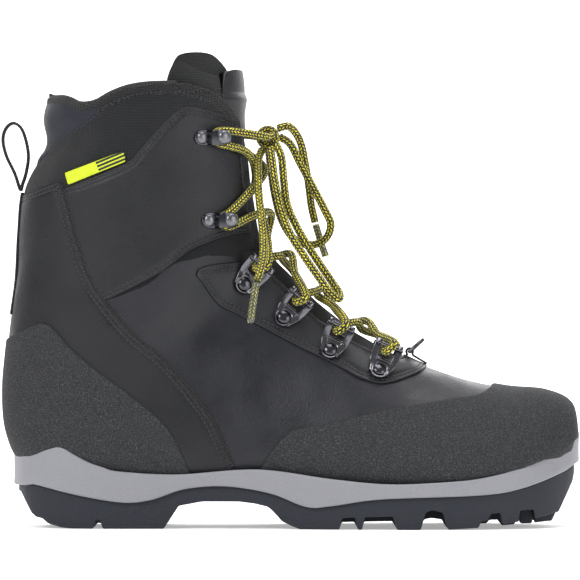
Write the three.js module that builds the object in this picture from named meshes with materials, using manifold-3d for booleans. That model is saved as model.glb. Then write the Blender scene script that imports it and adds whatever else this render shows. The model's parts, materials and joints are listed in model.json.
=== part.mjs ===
// Backcountry nordic ski boot, right foot: laced leather upper on a moulded sole with a toe binding bar.
// Millimetres, +X to the toe, +Y to the inner (medial) side of the foot, +Z up, ground at Z = 0.
import * as THREE from 'three';
import { mergeVertices } from 'three/addons/utils/BufferGeometryUtils.js';
import Module from 'manifold-3d';

const wasm = await Module();
wasm.setup();

// ---------------------------------------------------------------- driving dimensions
const lengthScale = 1;          // stretches the whole last from heel to toe
const widthScale = 1;           // stretches the whole last from side to side
const shaftHeight = 227;        // top of the collar above the ground, at the back
const clearance = 0.3;          // air between pieces that touch
const seamGap = 0.4;            // between two panels that butt in one layer
const leatherThickness = 1.6;
const overlayThickness = 1.4;   // rands, eyestays, backstay strip
const stiffenerThickness = 1.2; // heel counter and toe puff
const liningThickness = 2.2;
const tonguePadding = 4;
const flexRecess = 0.8;         // how deep the ankle flex panel sits below the leather
const insoleThickness = 4.5;
const laceDiameter = 4.2;
const barDiameter = 4;          // steel binding bar in the toe
const barLength = 54;
const barPlace = new THREE.Vector2(123.2, 5.2);
const barWall = 1.4;            // rubber round the bar's ends
const shankThickness = 1.8;
const shankWidth = 26;
const shankDepth = 0.6;         // how far the shank reaches below the last's bottom line
const outsoleInset = 2.5;       // outsole edge inside the midsole's
const rivetHeadRadius = 2.9;
const rivetShankRadius = 1.1;
const rivetTailRadius = 2.2;
const rivetTailThickness = 0.4;
const plateRadius = 4.2;
const plateThickness = 1.2;
const loopReach = 12.5;         // rivet centre to lace bar on a loop bracket
const loopBarLength = 12.4;
const loopWireRadius = 1.2;
const hookReach = 9.2;          // rivet centre to hook stem
const hookStemRadius = 1;
const hookCapRadius = 4.1;
const webbingThickness = 1.5;
const webbingWidth = 9;
const bindingRadius = 2.3;      // rolled edge of the collar
const ringsPerStation = 1;
const ringSides = 14;

// depth of each layer's faces from the leather's outer face
const leatherLayer = [-leatherThickness, 0];
const overlayLayer = [clearance, clearance + overlayThickness];
const stiffenerTop = -leatherThickness - clearance;
const stiffenerLayer = [stiffenerTop - stiffenerThickness, stiffenerTop];
const liningTop = stiffenerLayer[0] - clearance;
const liningLayer = [liningTop - liningThickness, liningTop];
const tongueLayer = [liningTop - tonguePadding, liningTop];
const boardLayer = [stiffenerLayer[0], overlayLayer[1]];

// ---------------------------------------------------------------- the last
// Each station is a section of the foot form: front point, back point, half widths and how full it is
// near its back and its front end.
const shaftRise = shaftHeight - 227;
const stations = [
  { front: [150.3, 51], back: [150.3, 45], outer: 10, inner: 11, backFill: 0.5, frontFill: 0.5 },
  { front: [147.5, 65], back: [147, 37.5], outer: 21.5, inner: 23, backFill: 0.25, frontFill: 0.45 },
  { front: [134, 71.5], back: [134, 31], outer: 34.5, inner: 36, backFill: 0.15, frontFill: 0.46 },
  { front: [115, 73.3], back: [115, 25.8], outer: 44.5, inner: 44.5, backFill: 0.11, frontFill: 0.48 },
  { front: [92, 77.8], back: [92, 22], outer: 50.5, inner: 47.5, backFill: 0.1, frontFill: 0.5 },
  { front: [66, 87], back: [65, 20.6], outer: 50.5, inner: 45.5, backFill: 0.1, frontFill: 0.5 },
  { front: [38, 102.5], back: [28, 21.8], outer: 45.5, inner: 40.5, backFill: 0.1, frontFill: 0.5 },
  { front: [14, 120.5], back: [-14, 26.2], outer: 39, inner: 35.5, backFill: 0.1, frontFill: 0.5 },
  { front: [-2, 136.5], back: [-60, 24.6], outer: 36.5, inner: 34.5, backFill: 0.11, frontFill: 0.5 },
  { front: [-10, 146], back: [-112, 27.8], outer: 36.5, inner: 35.5, backFill: 0.15, frontFill: 0.5 },
  { front: [-14, 152], back: [-139, 33.5], outer: 37, inner: 36.5, backFill: 0.3, frontFill: 0.5 },
  { front: [-16, 159], back: [-149, 50], outer: 38, inner: 37.5, backFill: 0.46, frontFill: 0.5 },
  { front: [-17.5, 167], back: [-151.3, 72], outer: 39, inner: 38.5, backFill: 0.5, frontFill: 0.5 },
  { front: [-19.5, 180], back: [-148.2, 105], outer: 39.5, inner: 39, backFill: 0.5, frontFill: 0.5 },
  { front: [-21, 192], back: [-144.8, 130], outer: 39.5, inner: 39.5, backFill: 0.5, frontFill: 0.5 },
  { front: [-23, 205], back: [-143.4, 155], outer: 39.5, inner: 39.5, backFill: 0.5, frontFill: 0.5 },
  { front: [-24, 217], back: [-141, 178], outer: 40, inner: 40, backFill: 0.5, frontFill: 0.5 },
  { front: [-22.5, 230], back: [-132, 199], outer: 40.5, inner: 40.5, backFill: 0.5, frontFill: 0.5 },
  { front: [-24, 243], back: [-129.5, 218], outer: 41, inner: 41, backFill: 0.5, frontFill: 0.5 },
  { front: [-28.5, 258], back: [-127, 240], outer: 41, inner: 41, backFill: 0.5, frontFill: 0.5 },
];

const xz = (x, z) => new THREE.Vector2(x, z);

// side-view points given for the standard boot, moved with the scales
function onBoot([x, z]) {
  const lift = z > 100 ? shaftRise * (z - 100) / 127 : 0;
  return new THREE.Vector2(x * lengthScale, z + lift);
}

// the standard boot's height for a height on this boot
function offBoot(z) {
  return z > 100 ? 100 + (z - 100) / (1 + shaftRise / 127) : z;
}

function catmull(p0, p1, p2, p3, t) {
  const t2 = t * t;
  const t3 = t2 * t;
  return 0.5 * (2 * p1 + (p2 - p0) * t + (2 * p0 - 5 * p1 + 4 * p2 - p3) * t2
    + (3 * p1 - p0 - 3 * p2 + p3) * t3);
}

function stationAt(place) {
  const last = stations.length - 1;
  const index = Math.min(Math.floor(place), last - 1);
  const rows = [index - 1, index, index + 1, index + 2]
    .map((i) => stations[Math.min(Math.max(i, 0), last)]);
  const mix = (pick) => catmull(...rows.map(pick), place - index);
  return {
    front: onBoot([mix((r) => r.front[0]), mix((r) => r.front[1])]),
    back: onBoot([mix((r) => r.back[0]), mix((r) => r.back[1])]),
    outer: mix((r) => r.outer) * widthScale,
    inner: mix((r) => r.inner) * widthScale,
    backFill: mix((r) => r.backFill),
    frontFill: mix((r) => r.frontFill),
  };
}

// rows with a flat bottom take their points closer to the bottom
function shareAt(angle, { backFill }) {
  const even = Math.min(Math.max((1 - Math.cos(angle)) / 2, 0), 1);
  return even ** bottomPacking(backFill);
}

function bottomPacking(backFill) {
  return 1 + (0.5 - Math.min(backFill, 0.5)) * 1.8;
}

// half width as a share of the widest, from the back point (0) to the front point (1)
function fullness(share, { backFill, frontFill }) {
  const widest = backFill / (backFill + frontFill);
  return (share / widest) ** backFill * ((1 - share) / (1 - widest)) ** frontFill;
}

function pointAt(place, angle) {
  const row = stationAt(place);
  const share = shareAt(angle, row);
  const lateral = Math.sin(angle) > 0;
  const y = (lateral ? -row.outer : row.inner) * fullness(share, row);
  const middle = row.back.clone().lerp(row.front, share);
  return new THREE.Vector3(middle.x, y, middle.y);
}

function normalAt(place, angle) {
  const step = 0.06;
  const last = stations.length - 1;
  const along = pointAt(Math.min(place + step, last), angle).sub(pointAt(Math.max(place - step, 0), angle));
  const around = pointAt(place, angle + step).sub(pointAt(place, angle - step));
  return around.cross(along).normalize();
}

const skins = new Map();

// the last grown (or shrunk) by an offset, as a closed solid
function lastSolid(offset) {
  if (skins.has(offset)) {
    return skins.get(offset);
  }
  const rings = Math.round((stations.length - 1) * ringsPerStation);
  const positions = [];
  const index = [];
  for (let i = 0; i <= rings; i += 1) {
    const place = (stations.length - 1) * i / rings;
    for (let j = 0; j < ringSides; j += 1) {
      const angle = Math.PI * 2 * j / ringSides;
      const normal = i === 0 ? new THREE.Vector3(1, 0, 0) : normalAt(place, angle);
      const point = pointAt(place, angle).addScaledVector(normal, offset);
      positions.push(point.x, point.y, point.z);
    }
  }
  const corner = (i, j) => i * ringSides + j % ringSides;
  for (let i = 0; i < rings; i += 1) {
    for (let j = 0; j < ringSides; j += 1) {
      index.push(corner(i, j), corner(i + 1, j + 1), corner(i + 1, j));
      index.push(corner(i, j), corner(i, j + 1), corner(i + 1, j + 1));
    }
  }
  for (let j = 1; j < ringSides - 1; j += 1) {
    index.push(corner(0, 0), corner(0, j + 1), corner(0, j));
    index.push(corner(rings, 0), corner(rings, j), corner(rings, j + 1));
  }
  const geometry = new THREE.BufferGeometry();
  geometry.setAttribute('position', new THREE.Float32BufferAttribute(positions, 3));
  geometry.setIndex(index);
  skins.set(offset, solid(geometry));
  return skins.get(offset);
}

// ---------------------------------------------------------------- solids and booleans
function solid(geometry) {
  let bare = geometry.clone();
  bare.deleteAttribute('normal');
  bare.deleteAttribute('uv');
  bare = mergeVertices(bare, 1e-4);
  const body = new wasm.Manifold(new wasm.Mesh({
    numProp: 3,
    vertProperties: new Float32Array(bare.attributes.position.array),
    triVerts: new Uint32Array(bare.index.array),
  }));
  if (body.volume() < 0) {
    throw new Error('a solid is inside out');
  }
  return body;
}

function toGeometry(body) {
  const mesh = body.getMesh();
  const geometry = new THREE.BufferGeometry();
  geometry.setAttribute('position', new THREE.BufferAttribute(new Float32Array(mesh.vertProperties), 3));
  geometry.setIndex(new THREE.BufferAttribute(new Uint32Array(mesh.triVerts), 1));
  geometry.computeVertexNormals();
  return geometry;
}

// keeps the largest body when a cut leaves slivers beside it
function largest(body) {
  const parts = body.decompose();
  return parts.reduce((best, one) => (one.volume() > best.volume() ? one : best), parts[0]);
}

// a side-view outline pushed through the boot from one side to the other
function prism(points, fromY = -90, toY = 90) {
  const outline = new THREE.Shape(points);
  const geometry = new THREE.ExtrudeGeometry(outline, { depth: toY - fromY, bevelEnabled: false });
  geometry.rotateX(Math.PI / 2);
  geometry.translate(0, toY, 0);
  return solid(geometry);
}

function block(sizeX, sizeY, sizeZ, x, y, z) {
  return solid(new THREE.BoxGeometry(sizeX, sizeY, sizeZ).translate(x, y, z));
}

function smooth(points, pieces) {
  return new THREE.SplineCurve(points.map(onBoot)).getPoints(pieces ?? (points.length - 1) * 2);
}

function shifted(line, distance) {
  return line.map((point, i) => {
    const before = line[Math.max(i - 1, 0)];
    const after = line[Math.min(i + 1, line.length - 1)];
    const along = after.clone().sub(before).normalize();
    return new THREE.Vector2(point.x - along.y * distance, point.y + along.x * distance);
  });
}

const far = 260;

// everything on one side of a seam, whose ends run on straight; inset keeps the piece off the seam line
function sideOf(line, way, inset = seamGap / 2) {
  const first = line[0];
  const last = line[line.length - 1];
  const level = way === 'up' || way === 'down';
  const reach = way === 'up' || way === 'front' ? far : -far;
  const rising = last.y > first.y;
  const run = level ? (last.x > first.x ? 1 : -1) : (rising ? -1 : 1);
  const end = level ? far : (rising ? far : -far);
  const extra = level
    ? [[end, last.y], [end, reach], [-end, reach], [-end, first.y]]
    : [[last.x, end], [reach, end], [reach, -end], [first.x, -end]];
  const points = [...shifted(line, run * Math.sign(reach) * inset), ...extra.map(([x, z]) => xz(x, z))];
  if (THREE.ShapeUtils.area(points) < 0) {
    points.reverse();
  }
  return prism(points);
}

const rightHalf = block(500, 100, 600, 0, -50 - seamGap / 2, 100);
const leftHalf = block(500, 100, 600, 0, 50 + seamGap / 2, 100);

function shell([inside, outside], ...cuts) {
  let body = lastSolid(outside).subtract(lastSolid(inside));
  cuts.forEach((cut) => {
    body = body.intersect(cut);
  });
  return largest(body);
}

// ---------------------------------------------------------------- seam lines, seen from the side
const heelEnd = -175;
const toeEnd = 170;
const seams = {
  feather: smooth([[heelEnd, 38], [-150, 38], [-128, 35], [-107, 31], [-90, 28], [-60, 27.2], [-18, 28.6],
    [20, 25], [50, 22.6], [75, 22.8], [98, 24.8], [120, 29.6], [136, 36], [148, 43.5], [toeEnd, 48]], 15),
  heelSeam: smooth([[-127, 198], [-121.6, 182.3], [-117.4, 168], [-112.1, 148.9], [-104.1, 127.7],
    [-85.6, 103.9], [-67, 88], [-51.1, 69.4], [-42.1, 57], [-35, 42], [-28.9, 28], [-24, 12]], 12),
  heelTop: smooth([[heelEnd, 165.5], [-141.2, 175.4], [-121.6, 182.3], [-110, 181]], 6),
  cuffTop: smooth([[-142, 174], [-119, 179.1], [-88.2, 191.3], [-80.5, 198], [-69.7, 209.9], [-59.1, 220],
    [-53.8, 222], [-40.5, 219.4], [-24.6, 214.1], [-8, 209]], 12),
  cuffBottom: smooth([[-122, 110], [-95.7, 120.3], [-80.3, 127.7], [-67, 135.2], [-53.8, 145.2],
    [-43.2, 150], [-33.7, 153.4], [-24.6, 154.8], [-6, 156]], 11),
  flexBottom: smooth([[-122, 108.8], [-95.7, 118.7], [-67, 131.7], [-59, 136.5], [-51, 138], [-40.5, 141],
    [-30, 142], [-12, 142]], 10),
  collar: smooth([[-165, 230], [-133, 228], [-120.6, 227.4], [-112.1, 224], [-103.6, 224.7],
    [-95.1, 229], [-86.7, 232.1], [-78.2, 233.7], [-69.7, 234.3], [-58, 234.5], [-10, 235]], 14),
  rearCollar: smooth([[-160, 172], [-136, 190], [-130.1, 196.6], [-120, 203], [-109.4, 209.9], [-101.5, 215.2],
    [-97.8, 221.5], [-94, 245]], 12),
  heelRandTop: smooth([[heelEnd, 76], [-151.8, 97], [-140.2, 103.9], [-128, 107.5], [-116.3, 95.9],
    [-103.1, 84.3], [-85.6, 71], [-67, 55.1], [-58.5, 42], [-49, 20]], 13),
  toeRandTop: smooth([[-22, 14], [-16, 32], [-9, 42.5], [-0.8, 50.9], [9.8, 53.5], [23.1, 56.2], [52.2, 62.5],
    [84, 67.8], [100, 70.5], [116, 82]], 13),
};
const throatLine = smooth([[64, 96], [57, 89.5], [44, 92], [27, 100.5], [10, 112.5], [-2, 125], [-11, 134.5],
  [-17, 145], [-22, 160], [-24.5, 178], [-26.5, 199], [-28, 225], [-29, 258]], 13);
const tongueBack = smooth([[-64, 236], [-63, 215], [-58, 192], [-50, 170], [-38, 150], [-22, 132], [-4, 114],
  [16, 97], [34, 85], [52, 79], [72, 80]], 13);
const tongueTop = smooth([[-22, 232], [-26.5, 240.5], [-31, 246.5], [-37, 250.6], [-46, 251.2], [-56, 249.1],
  [-61.7, 241.7], [-64, 236]], 12);

const behindThroat = prism([...throatLine, xz(-far, far), xz(-far, -40), xz(far, -40), xz(far, 96)]);
const tongueFront = [xz(82 * lengthScale, 100), xz(20 * lengthScale, 150), xz(0, 200)];
const tongueOutline = prism([...tongueTop, ...tongueBack.slice(1), ...tongueFront]);
const backOfTongue = shifted(tongueBack, -clearance);
const behindTongue = prism([xz(-64.5, far), ...backOfTongue, xz(far, 80), xz(far, -40), xz(-far, -40),
  xz(-far, far)]);
const aboveFeather = sideOf(seams.feather, 'up', clearance / 2);
const belowFeather = sideOf(seams.feather, 'down', clearance / 2);
const frontOfHeelSeam = sideOf(seams.heelSeam, 'front');
const behindHeelSeam = sideOf(seams.heelSeam, 'back');
const collarEdge = 2 * bindingRadius + 0.8;
const belowCollar = sideOf(seams.collar, 'down', collarEdge);

// ---------------------------------------------------------------- placing fittings on the upper
function placeOf(x, z) {
  const target = onBoot([x, z]);
  let low = 0;
  let high = stations.length - 1;
  const sideTest = (place) => {
    const { front, back } = stationAt(place);
    return (front.x - back.x) * (target.y - back.y) - (front.y - back.y) * (target.x - back.x);
  };
  for (let i = 0; i < 40; i += 1) {
    const middle = (low + high) / 2;
    if (sideTest(middle) > 0) {
      low = middle;
    } else {
      high = middle;
    }
  }
  const { front, back, backFill } = stationAt(low);
  const span = front.clone().sub(back);
  const share = Math.min(Math.max(target.clone().sub(back).dot(span) / span.lengthSq(), 0), 1);
  return { place: low, angle: Math.acos(1 - 2 * share ** (1 / bottomPacking(backFill))) };
}

function seatAt(x, z, side) {
  const { place, angle } = placeOf(x, z);
  const around = side < 0 ? angle : Math.PI * 2 - angle;
  return { point: pointAt(place, around), normal: normalAt(place, around) };
}

// frame of a fitting: x to its working end, z off the leather, origin on the leather's outer face
function fittingFrame(rivet, end, side) {
  const seat = seatAt(...rivet, side);
  const tip = seatAt(...end, side);
  const up = seat.normal;
  const ahead = tip.point.clone().sub(seat.point).projectOnPlane(up).normalize();
  const across = up.clone().cross(ahead);
  return new THREE.Matrix4().makeBasis(ahead, across, up).setPosition(seat.point);
}

const loopPlaces = [
  { name: 'loop_3', rivet: [-25.7, 127.7], end: [-17.8, 138.3] },
  { name: 'loop_4', rivet: [-4.5, 109.7], end: [4.5, 118.2] },
  { name: 'loop_5', rivet: [19.9, 92.4], end: [26, 103] },
  { name: 'loop_6', rivet: [45.6, 81.5], end: [50, 90] },
];
const hookPlaces = [
  { name: 'hook_1', rivet: [-47.4, 205.1], end: [-36.8, 205.6] },
  { name: 'hook_2', rivet: [-43.5, 161.7], end: [-32.6, 161.7] },
];
const sides = [{ name: 'lateral', sign: -1 }, { name: 'medial', sign: 1 }];
const baseOnEyestay = overlayLayer[1] + 0.5;
const baseOnCuff = 0.5;
const rivetTailPlace = stiffenerLayer[0] - 0.15;
const turnRoom = 1.1;            // slack of the lace round a bar or a stem
const laceAroundBar = loopWireRadius + laceDiameter / 2 + turnRoom;
const laceAroundStem = hookStemRadius + laceDiameter / 2 + turnRoom;
const loopBarHeight = baseOnEyestay + laceDiameter / 2 + clearance + laceAroundBar;
const laceInHook = baseOnCuff + plateThickness + clearance + laceDiameter / 2;

function cylinder(radius, height, x, y, z, segments = 8) {
  const geometry = new THREE.CylinderGeometry(radius, radius, height, segments).rotateX(Math.PI / 2);
  return solid(geometry.translate(x, y, z));
}

function crossRod(radius, length, x, z, segments = 8) {
  return solid(new THREE.CylinderGeometry(radius, radius, length, segments).translate(x, 0, z));
}

// plate with a rivet hole, two rising arms and the bar that the lace turns round
function loopBracket() {
  const base = baseOnEyestay;
  const armSpread = loopBarLength / 2 - loopWireRadius;
  const arm = (y) => prism([xz(-1, base), xz(4, base), xz(loopReach + loopWireRadius, loopBarHeight - 1.3),
    xz(loopReach + loopWireRadius, loopBarHeight + 1.3), xz(loopReach - 1.6, loopBarHeight + 1.3),
    xz(-1, base + plateThickness)], y - 0.75, y + 0.75);
  let body = cylinder(plateRadius, plateThickness, 0, 0, base + plateThickness / 2);
  body = body.add(block(4.5, armSpread * 2 + 1.5, plateThickness, 1.6, 0, base + plateThickness / 2));
  body = body.add(arm(-armSpread)).add(arm(armSpread));
  body = body.add(crossRod(loopWireRadius, loopBarLength, loopReach, loopBarHeight));
  return body.subtract(cylinder(rivetShankRadius + clearance, 6, 0, 0, base, 8));
}

function rivet() {
  const top = baseOnEyestay + plateThickness + clearance;
  const tail = rivetTailPlace;
  const tailTop = tail + rivetTailThickness;
  const profile = [xz(0, tail), xz(rivetTailRadius, tail), xz(rivetTailRadius, tailTop), xz(rivetShankRadius, tailTop),
    xz(rivetShankRadius, top), xz(rivetHeadRadius, top), xz(rivetHeadRadius * 0.75, top + 1.1),
    xz(0, top + 1.6)];
  return solid(new THREE.LatheGeometry(profile, 8).rotateX(Math.PI / 2));
}

// hook with its own hollow rivet: plate, stem and the domed cap over the lace
function speedHook() {
  const base = baseOnCuff;
  const tail = rivetTailPlace;
  const capHeight = laceInHook + laceDiameter / 2 + clearance;
  const cap = new THREE.SphereGeometry(hookCapRadius, 10, 4).rotateX(Math.PI / 2).scale(1, 1, 0.5)
    .translate(hookReach + 1.2, 0, capHeight + hookCapRadius * 0.5);
  let body = cylinder(plateRadius, plateThickness, 0, 0, base + plateThickness / 2);
  body = body.add(block(hookReach + 1.6, 5, plateThickness, hookReach / 2 + 0.5, 0, base + plateThickness / 2));
  body = body.add(cylinder(hookStemRadius, capHeight + 1.4 - base, hookReach, 0, (capHeight + 1.4 + base) / 2, 8));
  body = body.add(solid(cap));
  const dome = new THREE.SphereGeometry(rivetHeadRadius, 8, 4).rotateX(Math.PI / 2).scale(1, 1, 0.45)
    .translate(0, 0, base + plateThickness);
  body = body.add(solid(dome));
  body = body.add(cylinder(rivetShankRadius, base - tail, 0, 0, (base + tail) / 2, 8));
  return body.add(cylinder(rivetTailRadius, rivetTailThickness, 0, 0, tail + rivetTailThickness / 2, 8));
}

const fittings = [];
sides.forEach((side) => {
  loopPlaces.forEach((place) => {
    fittings.push({ ...place, side, kind: 'loop', frame: fittingFrame(place.rivet, place.end, side.sign) });
  });
  hookPlaces.forEach((place) => {
    fittings.push({ ...place, side, kind: 'hook', frame: fittingFrame(place.rivet, place.end, side.sign) });
  });
});

// clears the rivets' shanks and set tails out of a panel that they pass through
function pierced(body) {
  let result = body;
  const shank = new THREE.CylinderGeometry(rivetShankRadius + clearance, rivetShankRadius + clearance, 9, 8);
  const tail = new THREE.CylinderGeometry(rivetTailRadius + clearance, rivetTailRadius + clearance, 3, 8);
  shank.rotateX(Math.PI / 2);
  tail.rotateX(Math.PI / 2).translate(0, 0, rivetTailPlace + rivetTailThickness + clearance - 1.5);
  fittings.forEach(({ frame }) => {
    result = result.subtract(solid(shank.clone().applyMatrix4(frame)));
    result = result.subtract(solid(tail.clone().applyMatrix4(frame)));
  });
  return result;
}

// ---------------------------------------------------------------- laces
const laceSection = new THREE.Shape(Array.from({ length: 8 }, (_, i) => xz(
  laceDiameter / 2 * Math.cos(Math.PI * (i + 0.5) / 4), laceDiameter / 2 * Math.sin(Math.PI * (i + 0.5) / 4))));

// a path whose steps follow its points, so that tight turns get as many as the points have
class PointedPath extends THREE.CatmullRomCurve3 {
  getSpacedPoints(count) {
    return this.getPoints(count);
  }

  getTangentAt(share) {
    return this.getTangent(share);
  }
}

function tube(points, stepsPerPoint = 1, section = laceSection) {
  const path = new PointedPath(points, false, 'centripetal');
  const steps = (points.length - 1) * stepsPerPoint;
  const geometry = new THREE.ExtrudeGeometry(section, { steps, extrudePath: path, bevelEnabled: false });
  const body = new wasm.Manifold(new wasm.Mesh(meshData(geometry)));
  return body.volume() < 0 ? flipped(geometry) : body;
}

function meshData(geometry) {
  const bare = geometry.clone();
  bare.deleteAttribute('normal');
  bare.deleteAttribute('uv');
  const merged = mergeVertices(bare, 1e-4);
  return {
    numProp: 3,
    vertProperties: new Float32Array(merged.attributes.position.array),
    triVerts: new Uint32Array(merged.index.array),
  };
}

function flipped(geometry) {
  const data = meshData(geometry);
  data.triVerts = data.triVerts.reverse();
  return new wasm.Manifold(new wasm.Mesh(data));
}

// where the lace turns round a loop's bar, from under it to over it
function turnRoundBar(frame, across) {
  const angles = [-90, -145, 180, 145, 90];
  return angles.map((degrees, i) => {
    const turn = degrees * Math.PI / 180;
    const y = across * 2.35 * (i - 2) / 2;
    return new THREE.Vector3(loopReach + laceAroundBar * Math.cos(turn), y,
      loopBarHeight + laceAroundBar * Math.sin(turn)).applyMatrix4(frame);
  });
}

// where the lace turns round a hook's stem
function turnRoundStem(frame, across) {
  const angles = [-90, -135, 180, 135, 90];
  return angles.map((degrees) => {
    const turn = degrees * Math.PI / 180;
    return new THREE.Vector3(hookReach + laceAroundStem * Math.cos(turn),
      across * laceAroundStem * Math.sin(turn), laceInHook).applyMatrix4(frame);
  });
}

const knotCentre = new THREE.Vector3(-12.5 * lengthScale, 0, 206 + shaftRise * 0.83);
const knotSize = new THREE.Vector3(5.6, 7, 6.6);

// the strand crosses the tongue on the centre line, one over the other
const crossings = [
  { at: [37, 103.8] }, { at: [13.5, 121.2] }, { at: [-5, 140] }, { at: [-18, 164] }, { at: [-22.3, 187] },
];
const crossingLow = 1.2;
const crossingHigh = crossingLow + laceDiameter + 0.9;
const edgeRoom = 1.2;            // lace above the panel edge that it bends over

function crossingPoint({ at }, high) {
  const { place } = placeOf(at[0], at[1]);
  const lift = high ? crossingHigh : crossingLow;
  return pointAt(place, Math.PI).addScaledVector(normalAt(place, Math.PI), lift);
}

// the lace bends over the panel's edge between a fitting and the crossing
function overEdge(fitting, crossing, side) {
  const from = placeOf(...fitting.end);
  const to = placeOf(...crossing);
  const place = (from.place + to.place) / 2;
  const angle = from.angle + (Math.PI - from.angle) * 0.45;
  const around = side < 0 ? angle : Math.PI * 2 - angle;
  const lift = laceDiameter / 2 + edgeRoom + (fitting.name.startsWith('loop') ? overlayLayer[1] : 0);
  return pointAt(place, around).addScaledVector(normalAt(place, around), lift);
}

const rowPlaces = [...loopPlaces].reverse().concat([...hookPlaces].reverse());

function ladder(sign) {
  const rows = rowPlaces.map((place) => place.name);
  const points = [];
  let side = sign;
  rows.forEach((name, i) => {
    const fitting = fittings.find((one) => one.name === name && one.side.sign === side);
    const turn = fitting.kind === 'loop' ? turnRoundBar : turnRoundStem;
    const stretch = turn(fitting.frame, fitting.kind === 'loop' ? side : -side);
    points.push(...stretch);
    if (i < rows.length - 1) {
      const here = rowPlaces[i];
      const next = rowPlaces[i + 1];
      points.push(overEdge(here, crossings[i].at, side));
      points.push(crossingPoint(crossings[i], sign < 0));
      points.push(overEdge(next, crossings[i].at, -side));
      side = -side;
    }
  });
  const reach = (knotSize.y + 0.6) * side;
  points.push(new THREE.Vector3(knotCentre.x - 2.5, reach + 5 * side, knotCentre.z + 0.5));
  points.push(new THREE.Vector3(knotCentre.x, reach, knotCentre.z));
  return points;
}

function lacedRun() {
  const across = placeOf(54, 93);
  const bottom = pointAt(across.place, Math.PI).addScaledVector(normalAt(across.place, Math.PI), 3.4);
  return [...ladder(-1).reverse(), bottom, ...ladder(1)];
}

// free ends, each a list of points from the knot outward
const v3 = (x, y, z) => new THREE.Vector3(x * lengthScale, y * widthScale, z + (z > 100 ? shaftRise * (z - 100) / 127 : 0));
const bowLoopNear = [v3(-8.4, -6.2, 202.6), v3(-5.5, -8.5, 196), v3(-4, -10.5, 182), v3(-2.2, -12, 170),
  v3(2.8, -13, 158.5), v3(9, -13.5, 147.9), v3(16, -13.5, 137.3), v3(22, -13, 128.5), v3(25.3, -14.5, 123.4),
  v3(25, -18.5, 120.6), v3(20.5, -21.8, 123.6), v3(14, -22.5, 132.4), v3(6.5, -22.3, 143.2), v3(-0.8, -20.8, 155),
  v3(-5.6, -18.6, 168), v3(-9, -15.5, 184), v3(-10.4, -11.5, 194.5), v3(-11.3, -7.9, 200.4)];
const bowLoopFar = [v3(-6.2, 3.5, 206.5), v3(-1, 5.5, 203), v3(4.4, 7.5, 193), v3(10.9, 9.5, 180.7),
  v3(17.8, 10.5, 167.5), v3(20.9, 12, 160), v3(18.2, 15, 152.6), v3(10.4, 18, 149.2), v3(1.4, 19.8, 152.5),
  v3(-5, 20.2, 162), v3(-8.8, 18.4, 175.4), v3(-11, 14, 190), v3(-12.2, 9, 200)];
const tailNear = [v3(-15.7, -3.8, 199.3), v3(-17.4, -8, 194.5), v3(-17.6, -15, 186), v3(-17.2, -21.5, 175.4),
  v3(-15.8, -27, 163), v3(-14.8, -33.2, 151.6), v3(-15, -40.4, 142), v3(-16.6, -46.8, 134), v3(-18.1, -49.5, 130)];
const tailFar = [v3(-7, 1.2, 211), v3(-1.5, 3.5, 212), v3(4, 8, 205.5), v3(7.2, 13.4, 193), v3(9.2, 16.4, 180.7),
  v3(10.6, 19.2, 170), v3(12.5, 21, 161.5)];
const aglets = [
  [v3(-18.4, -49.9, 129), v3(-20, -51, 118.6), v3(-21.5, -51.5, 108)],
  [v3(12.8, 21.3, 160.4), v3(15.6, 22.2, 151), v3(18.8, 23, 141.5)],
];

// ---------------------------------------------------------------- sole
const soleHalf = [[-147, 0], [-144.5, 12], [-139, 22], [-128, 31], [-112, 36.5], [-88, 38.5], [-60, 38.5],
  [-30, 40], [0, 45], [30, 51], [60, 54.5], [85, 54.6], [105, 50.5], [122, 42.5], [136, 31], [146, 18],
  [151, 8], [152.4, 0]];
const innerShare = [1, 1, 1, 0.99, 0.98, 0.96, 0.92, 0.9, 0.9, 0.91, 0.93, 0.96, 1, 1.02, 1.03, 1.03, 1.02, 1];

// a closed smooth outline through its points
function closedLine(points, pieces) {
  const ring = new THREE.CatmullRomCurve3(points.map((p) => new THREE.Vector3(p.x, p.y, 0)), true);
  return ring.getPoints(pieces).slice(0, -1).map((p) => xz(p.x, p.y));
}

// the same outline drawn in by an inset
function drawnIn(line, inset) {
  const turn = THREE.ShapeUtils.area(line) > 0 ? inset : -inset;
  return line.map((point, i) => {
    const before = line[(i + line.length - 1) % line.length];
    const after = line[(i + 1) % line.length];
    const along = after.clone().sub(before).normalize();
    return xz(point.x - along.y * turn, point.y + along.x * turn);
  });
}

function soleOutline(inset) {
  const outer = soleHalf.map(([x, y]) => xz(x * lengthScale, -y * widthScale));
  const inner = soleHalf.map(([x, y], i) => xz(x * lengthScale, y * innerShare[i] * widthScale)).reverse();
  return drawnIn(closedLine([...outer, ...inner.slice(1, -1)], 72), inset);
}

function soleSlab(inset) {
  const geometry = new THREE.ExtrudeGeometry(new THREE.Shape(soleOutline(inset)), { depth: 90, bevelEnabled: false });
  return solid(geometry.translate(0, 0, -20));
}

const midsoleTop = smooth([[heelEnd, 36.5], [-146.6, 39.2], [-137.5, 42.9], [-128, 44.5], [-121.6, 43.5], [-114.7, 39.2],
  [-106.8, 35], [-98.8, 32.3], [-90.9, 30.2], [-60, 28.6], [-18.3, 31.3], [20.4, 26.5], [50, 23.9], [78.7, 24.9],
  [99.9, 27], [121.1, 32.3], [142.3, 41.3], [151.8, 48.8], [toeEnd, 58]], 26);
const midsoleBottom = smooth([[heelEnd, 22], [-142.8, 22.3], [-135.9, 22.8], [-120, 19.1], [-101.5, 15.4], [-86, 13.6],
  [-72.3, 15.4], [-56.4, 20.7], [-35.2, 22.3], [-11.4, 18.6], [7.2, 11.7], [20.4, 12.2], [46.9, 15.9], [99.9, 18],
  [121.1, 21.2], [142.3, 28.6], [151, 33.5], [toeEnd, 44]], 26);
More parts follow.
